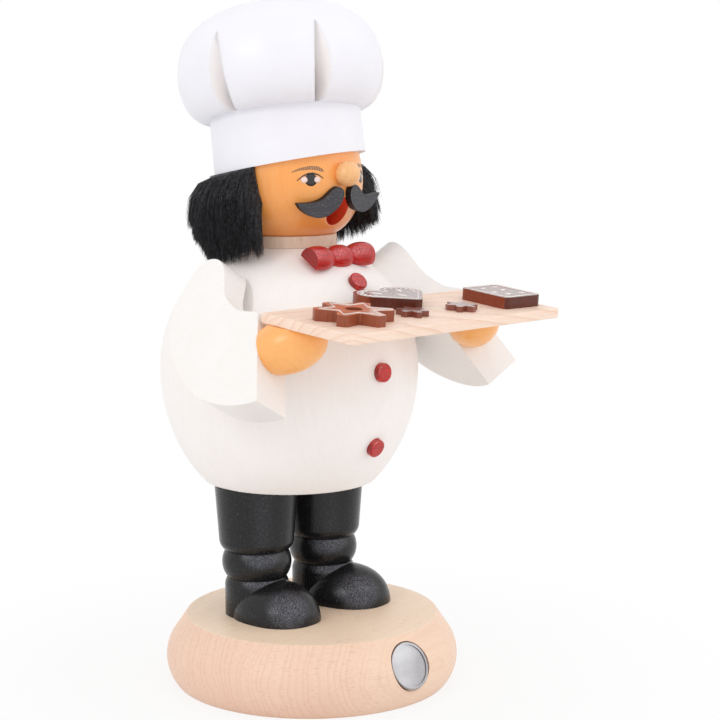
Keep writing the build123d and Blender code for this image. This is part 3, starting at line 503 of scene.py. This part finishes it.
def tone_biscuit(wood, side_tone, top_sheen_tone, lit_side_tone, lit_side_share):
    """The top is varnished and painted paler as a painted reflection; the faces on the right are painted
    warmer as painted light, and the sides are darker.
    """
    tree = wood.tree
    facing = split(tree, wood.normal)
    top = between(tree, facing[2], 0.5, 0.9)
    # Painted light: faces that look to the right, toward the key lamp, are warmer
    lit_side = between(tree, facing[0], -0.95, -0.75, lit_side_share, 0.0)
    side = mixed(tree, lit_side, mixed(tree, 0.35, wood.colour, paint(*side_tone)), paint(*lit_side_tone))
    # Painted reflection: the top is paler
    painted_top_sheen = mixed(tree, 0.4, wood.colour, paint(*top_sheen_tone))
    feed(wood, "Base Color", mixed(tree, top, side, painted_top_sheen))
    feed(wood, "Coat Weight", between(tree, top, 0.0, 1.0, 0.1, 0.85))


def tone_bow(wood):
    """The ends, cut across the fibre, are browner."""
    tree = wood.tree
    endways = maths(tree, "ABSOLUTE", split(tree, wood.normal)[0])
    ends = between(tree, endways, 0.72, 0.9, 0.0, 0.65)
    feed(wood, "Base Color", mixed(tree, ends, wood.colour, paint(124, 40, 38)))


def tone_moustache(wood):
    """The saw-cut edges are black."""
    tree = wood.tree
    front = (sin(radians(HEAD_TURN)), -cos(radians(HEAD_TURN)), -0.12)
    flat = between(tree, dot(tree, wood.normal, front), 0.6, 0.8)
    feed(wood, "Base Color", mixed(tree, flat, paint(20, 20, 22), wood.colour))


tone_base(base_beech)
tone_head(skin_stain)
tone_biscuit(star_stain, (84, 44, 36), (255, 168, 112), (150, 80, 54), 0.3)
tone_biscuit(biscuit_stain, (70, 36, 30), (120, 66, 50), (158, 74, 42), 0.6)
tone_bow(red_stain)
tone_moustache(moustache_stain)

# Dressing of the solids: what isn't named here is bare beech
dressing = {
    "base_medallion": coin_pewter, "incense_dish": dish_brass, "dish_tack": dish_brass,
    "right_leg": boot_stain, "left_leg": boot_stain,
    "right_toe_cap": boot_stain, "left_toe_cap": boot_stain,
    "belly_shell": jacket_stain, "neck_collar": collar_beech,
    "right_sleeve": sleeve_stain, "left_sleeve": sleeve_stain,
    "right_hand": hand_stain, "left_hand": hand_stain,
    "bow_tie": red_stain, "button_upper": red_stain, "button_middle": red_stain,
    "button_lower": red_stain, "head": skin_stain, "nose": nose_stain,
    "right_moustache": moustache_stain, "left_moustache": moustache_stain,
    "hat_band": hat_lacquer, "hat_crown": hat_lacquer, "tray": tray_pine,
    "gingerbread_star": star_stain, "gingerbread_heart": biscuit_stain,
    "gingerbread_slab": biscuit_stain,
    "small_star_1": small_star_stain, "small_star_2": small_star_stain,
}
for name, solid in nodes.items():
    solid.data.materials.clear()
    solid.data.materials.append(dressing.get(name, base_beech).material)


# New pieces
def finish_piece(builder, name, finish, body):
    """Object from a bmesh, smooth, on its body."""
    mesh = bpy.data.meshes.new(name)
    builder.to_mesh(mesh)
    builder.free()
    piece = bpy.data.objects.new(name, mesh)
    bpy.context.collection.objects.link(piece)
    mesh.materials.append(finish.material)
    mesh.polygons.foreach_set("use_smooth", [True] * len(mesh.polygons))
    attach(piece, body)
    return piece


def new_line(name, radius, rounding):
    """Curve that is to become a round tube."""
    line = bpy.data.curves.new(name, "CURVE")
    line.dimensions = "3D"
    line.bevel_depth = radius * MM
    line.bevel_resolution = rounding
    return line


def tube_mesh(name, line):
    """The tube of a curve, as a bmesh."""
    holder = bpy.data.objects.new(name + "_line", line)
    bpy.context.collection.objects.link(holder)
    settled = holder.evaluated_get(bpy.context.evaluated_depsgraph_get())
    mesh = bpy.data.meshes.new_from_object(settled)
    bpy.data.objects.remove(holder)
    builder = bmesh.new()
    builder.from_mesh(mesh)
    bpy.data.meshes.remove(mesh)
    return builder


def leaning(back, side):
    """Upright that leans back and sideways, in degrees."""
    back, side = radians(back), radians(side)
    return Vector((sin(side), sin(back) * cos(side), cos(back) * cos(side)))


# Hat crown: the solid's form with an even swell, and paler, warmer paint in the pleats as painted light
# against their shade
EVEN_REACH = 9
EVEN_FADE = 4
EVEN_DEPTH = 0.4
PLEAT_DEPTH = 0.3
PLEAT_SPAN = (1.0, 25.0)
CROWN_SHARP = 35
hat_axis = leaning(*HAT_LEAN)
crown_foot = HAT_FOOT + hat_axis * BAND_HEIGHT


def crown_radius(height):
    """Radius of the crown at that height over its foot."""
    if height < CROWN_SWELL:
        share = 1 - max(0.0, height) / CROWN_SWELL
        return CROWN_FOOT_RADIUS + (CROWN_RADIUS - CROWN_FOOT_RADIUS) * sqrt(1 - share ** 2)
    share = min(1.0, (height - CROWN_SWELL) / (CROWN_HEIGHT - CROWN_SWELL))
    power = CROWN_POWERS[0] + (CROWN_POWERS[1] - CROWN_POWERS[0]) * sin(pi * min(0.5, share))
    return CROWN_RADIUS * (1 - share ** power) ** (1 / power)


def in_crown(place):
    """Height over the crown's foot, way out from its axis, and depth under its form."""
    local = place / MM - crown_foot
    height = local.dot(hat_axis)
    out = local - hat_axis * height
    return height, out, crown_radius(height) - out.length


crown = bmesh.new()
crown.from_mesh(nodes["hat_crown"].data)
bmesh.ops.remove_doubles(crown, verts=crown.verts, dist=1e-6)
for vert in crown.verts:
    height, out, depth = in_crown(vert.co)
    off_swell = abs(height - CROWN_SWELL)
    if off_swell < EVEN_REACH and abs(depth) < EVEN_DEPTH:
        share = min(1.0, (EVEN_REACH - off_swell) / EVEN_FADE)
        vert.co += out.normalized() * depth * share * MM
# Pleat faces take the second slot, with the painted light of the pleats
for face in crown.faces:
    height, out, depth = in_crown(face.calc_center_median())
    face.material_index = int(depth > PLEAT_DEPTH and PLEAT_SPAN[0] < height < PLEAT_SPAN[1])
crown_piece = finish_piece(crown, "hat_crown_form", hat_lacquer, "torso")
crown_piece.data.materials.append(pleat_painted_light.material)
crown_piece.data.set_sharp_from_angle(angle=radians(CROWN_SHARP))
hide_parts("hat_crown")

# Face paint: turns are from the middle of the face, heights from the foot of the head
FACE_RADIUS = 21.4
RAY_REACH = 60.0
PAINT_THICK = 0.03
EYE_TURN = 28.4
EYE_HEIGHT = 16.45
IRIS_HALF = (1.82, 1.76)
IRIS_LOWER = 0.02
IRIS_PROUD = 0.04
GLINT_HALF = (0.95, 0.88)
GLINT_PROUD = 0.07
GLINTS = (("outer", -5.3), ("inner", 5.1))
LID = [(-10.8, 16.26), (-6.5, 17.5), (-2.6, 18.15), (1.4, 18.3), (6.0, 17.8), (9.8, 16.84)]
LID_HALF = 0.13
LID_SWELL = 0.09
LID_PROUD = 0.1
LID_GRID = (28, 3)
BROW = [(-14.8, 18.6), (-8.7, 19.42), (0.0, 19.83), (5.6, 19.63), (10.7, 18.9)]
BROW_HALF = 0.12
BROW_SWELL = 0.42
BROW_TAPER = 0.62
BROW_START = 0.02
BROW_BLUNT = 9
BROW_PROUD = 0.06
BROW_GRID = (28, 4)
DOT_CORNERS = 28
skull = nodes["head"]


def on_face(turn, height, proud):
    """Point on the head, standing proud of the wood."""
    aim = radians(HEAD_TURN + turn)
    out = Vector((sin(aim), -cos(aim), 0))
    start = Vector((0, BODY_Y * MM, height * MM)) + out * RAY_REACH * MM
    _, place, normal, _ = skull.ray_cast(start, -out)
    return place + normal * proud * MM


def coat_of_paint(builder, name, finish):
    bmesh.ops.recalc_face_normals(builder, faces=builder.faces)
    bmesh.ops.solidify(builder, geom=builder.faces[:], thickness=PAINT_THICK * MM)
    return finish_piece(builder, name, finish, "torso")


def along_points(points, share):
    """Height on a run of (turn, height) points at that share of its turns."""
    turn = points[0][0] + (points[-1][0] - points[0][0]) * share
    for (low_turn, low), (high_turn, high) in zip(points, points[1:]):
        if turn <= high_turn:
            step = (turn - low_turn) / (high_turn - low_turn)
            return low + (high - low) * step
    return points[-1][1]


def stroke_of_paint(name, finish, run, half, proud, grid):
    """Brush stroke along a run of points; half gives its half height at a share of the run."""
    builder = bmesh.new()
    bmesh.ops.create_grid(builder, x_segments=grid[0], y_segments=grid[1], size=1.0)
    left, right = run[0][0], run[-1][0]
    for vert in builder.verts:
        share = 0.5 * (vert.co.x + 1)
        climb = 0.5 * (vert.co.y + 1)
        middle = along_points(run, share)
        low, high = middle - half(share), middle + half(share)
        vert.co = on_face(left + (right - left) * share, low + (high - low) * climb, proud)
    bmesh.ops.remove_doubles(builder, verts=builder.verts, dist=1e-6)
    return coat_of_paint(builder, name, finish)


def face_dot(name, finish, turn, height, half_sizes, proud):
    """Round dab of paint on the face."""
    builder = bmesh.new()
    bmesh.ops.create_circle(builder, cap_ends=True, cap_tris=True, segments=DOT_CORNERS, radius=1.0)
    bmesh.ops.subdivide_edges(builder, edges=builder.edges[:], cuts=1, use_grid_fill=True)
    for vert in builder.verts:
        aside = degrees(vert.co.x * half_sizes[0] / FACE_RADIUS)
        vert.co = on_face(turn + aside, height + vert.co.y * half_sizes[1], proud)
    return coat_of_paint(builder, name, finish)


def lid_half(share):
    return LID_HALF + LID_SWELL * sin(pi * share)


def brow_half(inward):
    """Half height of a brow, from its thin outer end to its blunt inner end."""
    blunt = min(1.0, BROW_BLUNT * (1 + BROW_START - inward))
    return BROW_HALF + BROW_SWELL * sin(pi * min(1.0, BROW_TAPER * inward + BROW_START)) * blunt


def mirrored(points, side):
    """Run of points round an eye, on that side of the face, from right to left."""
    return sorted((side * (EYE_TURN - turn), HEAD_LOW + up) for turn, up in points)


for side, eye in ((-1, "right"), (1, "left")):
    eye_turn, eye_height = side * EYE_TURN, HEAD_LOW + EYE_HEIGHT
    face_dot(eye + "_iris", iris_paint, eye_turn, eye_height - IRIS_LOWER, IRIS_HALF, IRIS_PROUD)
    for label, aside in GLINTS:
        name = eye + "_eye_" + label
        face_dot(name, glint_paint, side * (EYE_TURN - aside), eye_height, GLINT_HALF, GLINT_PROUD)
    stroke_of_paint(eye + "_lid", lash_paint, mirrored(LID, side), lid_half, LID_PROUD, LID_GRID)
    stroke_of_paint(
        eye + "_brow", brow_paint, mirrored(BROW, side),
        lambda share, side=side: brow_half(0.5 + (share - 0.5) * -side), BROW_PROUD, BROW_GRID,
    )

# Icing on the biscuits: places are across and back from a biscuit's place on the tray
DROP_HALF_HEIGHT = 0.22
STAR = (-26.2, -2.7)
STAR_LIFT = 3.1
STAR_TURN = 29.8
STAR_REACHES = (9.5, 5.25)
STAR_BEAD = 0.22
HEART = (0.6, -2.3)
HEART_LIFT = 3.2
HEART_LOBE = (5.2, 13.5)
HEART_LOBE_RADIUS = 4.8
HEART_POINT = [(0.0, 2.2), (0.9, 2.6), (8.35, 10.0)]
HEART_RIM_TURNS = range(-40, 171, 15)
HEART_BEAD = 0.2
HEART_DROPS = [(-4.6, 13.6, 2.1, 0.8, 118), (5.0, 14.2, 1.9, 0.85, 62), (0.2, 8.2, 2.2, 0.8, 90)]
HEART_DOT_TURNS = range(-50, 100, 24)
HEART_DOT_REACH = 3.7
HEART_DOT_HALF = (0.65, 0.3)
SLAB = (32.0, -3.0)
SLAB_LIFT = 3.3
SLAB_HALF = (4.8, 6.75)
SLAB_CORNER = 1.4
SLAB_BEAD = 0.24
SLAB_DROPS = [
    (-1.5, 5.3, 12), (3.4, 5.2, -8), (2.0, 1.0, 20), (-3.4, -0.6, -14), (-1.6, -4.2, 8), (3.5, -4.8, -10),
]
SLAB_DROP_HALF = (1.25, 0.72)
tray_turn = Euler((radians(TRAY_TILT), 0, 0)).to_matrix()


def on_tray(place, across, back, lift):
    """Point over the tray, measured from a biscuit's place."""
    flat = Vector((place[0] + across, place[1] + back, lift))
    return (Vector(TRAY_MIDDLE) + tray_turn @ flat) * MM


def piped(name, points, radius):
    """Bead of icing round a closed line of points."""
    line = new_line(name, radius, 2)
    line.use_fill_caps = True
    run = line.splines.new("POLY")
    run.points.add(len(points) - 1)
    for point, place in zip(run.points, points):
        point.co = (*place, 1.0)
    run.use_cyclic_u = True
    return finish_piece(tube_mesh(name, line), name, icing_paint, "torso")


def drops(name, places):
    """Flat drops of icing: (middle, half length, half width, turn)."""
    builder = bmesh.new()
    for middle, half_length, half_width, turn in places:
        shape = Matrix.Translation(middle) @ tray_turn.to_4x4() @ Matrix.Rotation(radians(turn), 4, "Z")
        shape = shape @ Matrix.Diagonal((half_length * MM, half_width * MM, DROP_HALF_HEIGHT * MM, 1.0))
        bmesh.ops.create_uvsphere(builder, u_segments=12, v_segments=6, radius=1.0, matrix=shape)
    return finish_piece(builder, name, icing_paint, "torso")


def round_lobe(reach, turn, side=1):
    """Point round the middle of a lobe of the heart."""
    across = HEART_LOBE[0] + reach * cos(radians(turn))
    return side * across, HEART_LOBE[1] + reach * sin(radians(turn))


star_line = []
for corner in range(12):
    aim = radians(STAR_TURN + 30 * corner)
    reach = STAR_REACHES[corner % 2]
    star_line.append(on_tray(STAR, reach * cos(aim), reach * sin(aim), STAR_LIFT))
piped("star_icing", star_line, STAR_BEAD)

rim_right = HEART_POINT + [round_lobe(HEART_LOBE_RADIUS, turn) for turn in HEART_RIM_TURNS]
rim_right = [point for point in rim_right if point[0] >= 0.0]
rim = rim_right + [(-across, back) for across, back in reversed(rim_right[1:])]
heart_line = [on_tray(HEART, *point, HEART_LIFT) for point in rim]
piped("heart_icing", heart_line, HEART_BEAD)
heart_places = []
for across, back, half_length, half_width, turn in HEART_DROPS:
    heart_places.append((on_tray(HEART, across, back, HEART_LIFT), half_length, half_width, turn))
for turn in HEART_DOT_TURNS:
    for side, slant in ((1, turn), (-1, 180 - turn)):
        middle = on_tray(HEART, *round_lobe(HEART_DOT_REACH, turn, side), HEART_LIFT)
        heart_places.append((middle, *HEART_DOT_HALF, slant))
drops("heart_drops", heart_places)

slab_line = []
for corner, (right, far) in enumerate(((1, 1), (-1, 1), (-1, -1), (1, -1))):
    for turn in (0, 30, 60, 90):
        aim = radians(90 * corner + turn)
        across = right * SLAB_HALF[0] + SLAB_CORNER * cos(aim)
        back = far * SLAB_HALF[1] + SLAB_CORNER * sin(aim)
        slab_line.append(on_tray(SLAB, across, back, SLAB_LIFT))
piped("slab_icing", slab_line, SLAB_BEAD)
slab_places = []
for across, back, turn in SLAB_DROPS:
    slab_places.append((on_tray(SLAB, across, back, SLAB_LIFT), *SLAB_DROP_HALF, turn))
drops("slab_drops", slab_places)

# Plush: a glued strip of black fur round the back of the head
STRIP_FRONT = (66.0, 71.5)
STRIP_LEFT_BACK = 10
STRIP_HEIGHT = 10.4
STRIP_THICK = 0.7
SEAT_RADIUS = 22.0
SEAT_GAP = 0.05
LEDGE = SimpleNamespace(rise=0.8, width=1.0, lift=0.35, start=0.8, fade=0.2, span=0.6)
FALLS = 5
FALL_WAY = 0.4
FIBRES_PER_FALL = 7800
FIBRE_RADIUS = 0.08
FIBRE_ROOT = 0.4
FIBRE_STEPS = (0.0, 0.33, 0.67, 1.0)
FIBRE_TAPER = (1, 1, 0.8, 0.2)
SWIRL_SCALES = (9.0, 2.0)
SWIRL_LAYER = 3.0
LOCK_SCALES = (34.0, 6.0)
LOCK_LAYER = 9.0
LOCK_LEAN_LAYER = 21.0
LEFT_FRONT = 0.5
EDGE_WAY = SimpleNamespace(right=0.1, left=0.25)
REACH = SimpleNamespace(low=2.6, rise=3.8, left=1.4, left_rise=1.6, swirl=0.12, lock=0.3, strand=0.08)
DROP = SimpleNamespace(low=15.2, rise=4.0, left=1.6, left_edge=3.4, lock=(0.05, 0.16), strand=(0.03, 0.05))
LEAN = SimpleNamespace(swirl=1.2, lock=2.2, strand=0.5, edge_calm=0.7, right=1.4, left=-4.4, rise=0.6)
OUT_POWER = 2.0
DROP_POWER = 1.55
LEAN_POWER = 1.4
PILE = Random(41)
seat_out = leaning(*HAT_SEAT_LEAN)


def head_radius(height):
    """Radius of the head at that height over its foot."""
    for (low, low_radius), (high, high_radius) in zip(HEAD_STATIONS, HEAD_STATIONS[1:]):
        if height <= high:
            share = max(0.0, (height - low) / (high - low))
            return low_radius + (high_radius - low_radius) * share
    return HEAD_STATIONS[-1][1]


def under_hat(across, back):
    """Height of the hat's seat over a point of the head."""
    slope = seat_out.x * (across - HAT_SEAT[0]) + seat_out.y * (back - HAT_SEAT[1])
    return HAT_SEAT[2] - slope / seat_out.z


def strip_place(way, share, proud):
    """Point on the strip, and the way out from the head there.

    way runs from -1 at the strip's right end to 1 at its left end, share from its low edge to the hat.
    """
    slant = STRIP_FRONT[1] - STRIP_FRONT[0] + STRIP_LEFT_BACK * max(0.0, way) ** 2
    front = STRIP_FRONT[0] + slant * share
    aim = radians(HEAD_TURN + 180 - way * (180 - front))
    out = Vector((sin(aim), -cos(aim), 0))
    high = under_hat(SEAT_RADIUS * out.x, BODY_Y + SEAT_RADIUS * out.y) - SEAT_GAP
    high += LEDGE.rise * max(0.0, out.y) ** 2
    height = high - STRIP_HEIGHT * (1 - share)
    return Vector((0, BODY_Y, height)) + out * (head_radius(height - HEAD_LOW) + proud), out


strip = bmesh.new()
bmesh.ops.create_grid(strip, x_segments=72, y_segments=6, size=1.0)
for vert in strip.verts:
    vert.co = strip_place(vert.co.x, 0.5 * (vert.co.y + 1), STRIP_THICK)[0] * MM
bmesh.ops.recalc_face_normals(strip, faces=strip.faces)
bmesh.ops.solidify(strip, geom=strip.faces[:], thickness=STRIP_THICK * MM)
backing = finish_piece(strip, "hair_backing", plush_black, "torso")
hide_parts("hair")


def ripple(way, share, scales, layer):
    """Smooth random number that changes along the strip and up it."""
    return noise(Vector((way * scales[0], share * scales[1], layer)))


def tuft(way, share):
    """Points of one fibre: high ones arch out from the head, low ones hang."""
    over_ledge = max(0.0, share - LEDGE.start) / LEDGE.fade * max(0.0, 1 - abs(way) / LEDGE.span)
    root, out = strip_place(way, share, FIBRE_ROOT - LEDGE.width * over_ledge)
    root.z += LEDGE.lift * over_ledge
    side = Vector((-out.y, out.x, 0))
    left_front = max(0.0, (way - LEFT_FRONT) / (1 - LEFT_FRONT))
    edge = max(0.0, 1 - (1 - abs(way)) / (EDGE_WAY.right if way < 0 else EDGE_WAY.left))
    swirl = ripple(way, share, SWIRL_SCALES, SWIRL_LAYER)
    lock = ripple(way, share, LOCK_SCALES, LOCK_LAYER)
    lock_lean = ripple(way, share, LOCK_SCALES, LOCK_LEAN_LAYER)
    strand = PILE.gauss(0, 1)
    strand_drop = PILE.gauss(0, 1)
    strand_lean = PILE.gauss(0, 1)

    reach = REACH.low + REACH.rise * share + left_front * (REACH.left + REACH.left_rise * share)
    reach *= 1 + REACH.swirl * swirl + REACH.lock * lock + REACH.strand * strand
    drop = DROP.low - DROP.rise * share
    drop -= left_front * (DROP.left + DROP.left_edge * edge * (1 - share))
    lock_share = DROP.lock[0] + DROP.lock[1] * share
    strand_share = DROP.strand[0] + DROP.strand[1] * share
    drop *= 1 + lock_share * lock + strand_share * strand_drop
    lean = LEAN.swirl * swirl + LEAN.lock * lock_lean + LEAN.strand * strand_lean
    edge_lean = LEAN.right if way < 0 else LEAN.left
    lean = lean * (1 - LEAN.edge_calm * edge) - edge * edge_lean * (1 - LEAN.rise * share)

    points = []
    for step in FIBRE_STEPS:
        outward = out * reach * (1 - (1 - step) ** OUT_POWER)
        down = Vector((0, 0, drop * step ** DROP_POWER))
        points.append(root + outward - down - side * lean * step ** LEAN_POWER)
    return points


def fur(name, first, last):
    """A fall of fibres over part of the strip."""
    line = new_line(name, FIBRE_RADIUS, 0)
    for _ in range(FIBRES_PER_FALL):
        fibre = line.splines.new("POLY")
        fibre.points.add(len(FIBRE_STEPS) - 1)
        run = tuft(PILE.uniform(first, last), PILE.uniform(0, 1))
        for point, place, thin in zip(fibre.points, run, FIBRE_TAPER):
            point.co = (*(place * MM), 1.0)
            point.radius = thin
    piece = finish_piece(tube_mesh(name, line), name, plush_black, "torso")
    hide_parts("hair")
    return piece


for number in range(FALLS):
    first = -1 + FALL_WAY * number
    fur("hair_fur_" + str(number + 1), first, first + FALL_WAY)

# Floor, lights and camera, in metres
FLOOR_RADIUS = 4.0
FLOOR_FADE = (0.05, 0.16)
FLOOR_WHITE = (0.8, 1.0)
SKY_STRENGTH = (0.92, 1.0)
LAMP_AIM = (0, 0, 0.1)
LAMPS = (
    ("key_softbox", (-0.95, -0.1, 0.7), 0.34, 1.5),
    ("right_softbox", (0.75, -0.75, 0.45), 0.9, 1.5),
    ("top_softbox", (-0.1, -0.55, 0.85), 0.16, 0.4),
)
FOCAL_PIXELS = 1942.0
PHOTO_PIXELS = 720.0
SENSOR_WIDTH = 36.0
CAMERA_PLACE = (-0.38215, -0.40838, 0.17812)
CAMERA_DOWN = 8.47
CAMERA_TURN = -44.56


def seen_by_eye(tree):
    """1 for rays that show the backdrop itself, straight, mirrored or through glass."""
    rays = tree.nodes.new("ShaderNodeLightPath").outputs
    seen = maths(tree, "MAXIMUM", rays["Is Camera Ray"], rays["Is Glossy Ray"])
    return maths(tree, "MAXIMUM", seen, rays["Is Transmission Ray"])


def floor_finish():
    """Paper that keeps the shadow near the object and is plain white further out."""
    finish = new_finish("floor_paper", 0.9)
    tree, shader = finish.tree, finish.shader
    shader.inputs["Base Color"].default_value = paint(240, 240, 240)
    white_share = between(tree, length(tree, finish.place), *FLOOR_FADE, *FLOOR_WHITE)
    share = maths(tree, "MULTIPLY", white_share, seen_by_eye(tree))
    white = put(tree, "ShaderNodeEmission", {"Color": (1, 1, 1, 1), "Strength": 1.0}).outputs[0]
    blend = put(tree, "ShaderNodeMixShader", {0: share, 1: shader.outputs[0], 2: white}).outputs[0]
    tree.links.new(blend, tree.nodes["Material Output"].inputs["Surface"])
    return finish


floor_mesh = bmesh.new()
bmesh.ops.create_circle(floor_mesh, cap_ends=True, segments=96, radius=FLOOR_RADIUS)
floor_data = bpy.data.meshes.new("floor")
floor_mesh.to_mesh(floor_data)
floor_mesh.free()
floor = bpy.data.objects.new("floor", floor_data)
bpy.context.collection.objects.link(floor)
floor_data.materials.append(floor_finish().material)

world = bpy.data.worlds.new("studio")
bpy.context.scene.world = world
world.use_nodes = True
world_tree = world.node_tree
sky = world_tree.nodes["Background"]
sky.inputs["Color"].default_value = (1, 1, 1, 1)
sky_strength = between(world_tree, seen_by_eye(world_tree), 0.0, 1.0, *SKY_STRENGTH)
world_tree.links.new(sky_strength, sky.inputs["Strength"])

for name, place, side, power in LAMPS:
    lamp = bpy.data.lights.new(name, "AREA")
    lamp.shape = "RECTANGLE"
    lamp.size = side
    lamp.size_y = side
    lamp.energy = power
    holder = bpy.data.objects.new(name, lamp)
    bpy.context.collection.objects.link(holder)
    holder.location = place
    holder.rotation_euler = (Vector(LAMP_AIM) - Vector(place)).to_track_quat("-Z", "Y").to_euler()

camera_data = bpy.data.cameras.new("photo_camera")
camera_data.sensor_width = SENSOR_WIDTH
camera_data.lens = FOCAL_PIXELS / PHOTO_PIXELS * SENSOR_WIDTH
camera_data.clip_start = 0.01
camera = bpy.data.objects.new("photo_camera", camera_data)
bpy.context.collection.objects.link(camera)
camera.location = CAMERA_PLACE
camera.rotation_euler = (radians(90 - CAMERA_DOWN), 0, radians(CAMERA_TURN))
bpy.context.scene.camera = camera
bpy.context.scene.view_settings.view_transform = "Standard"
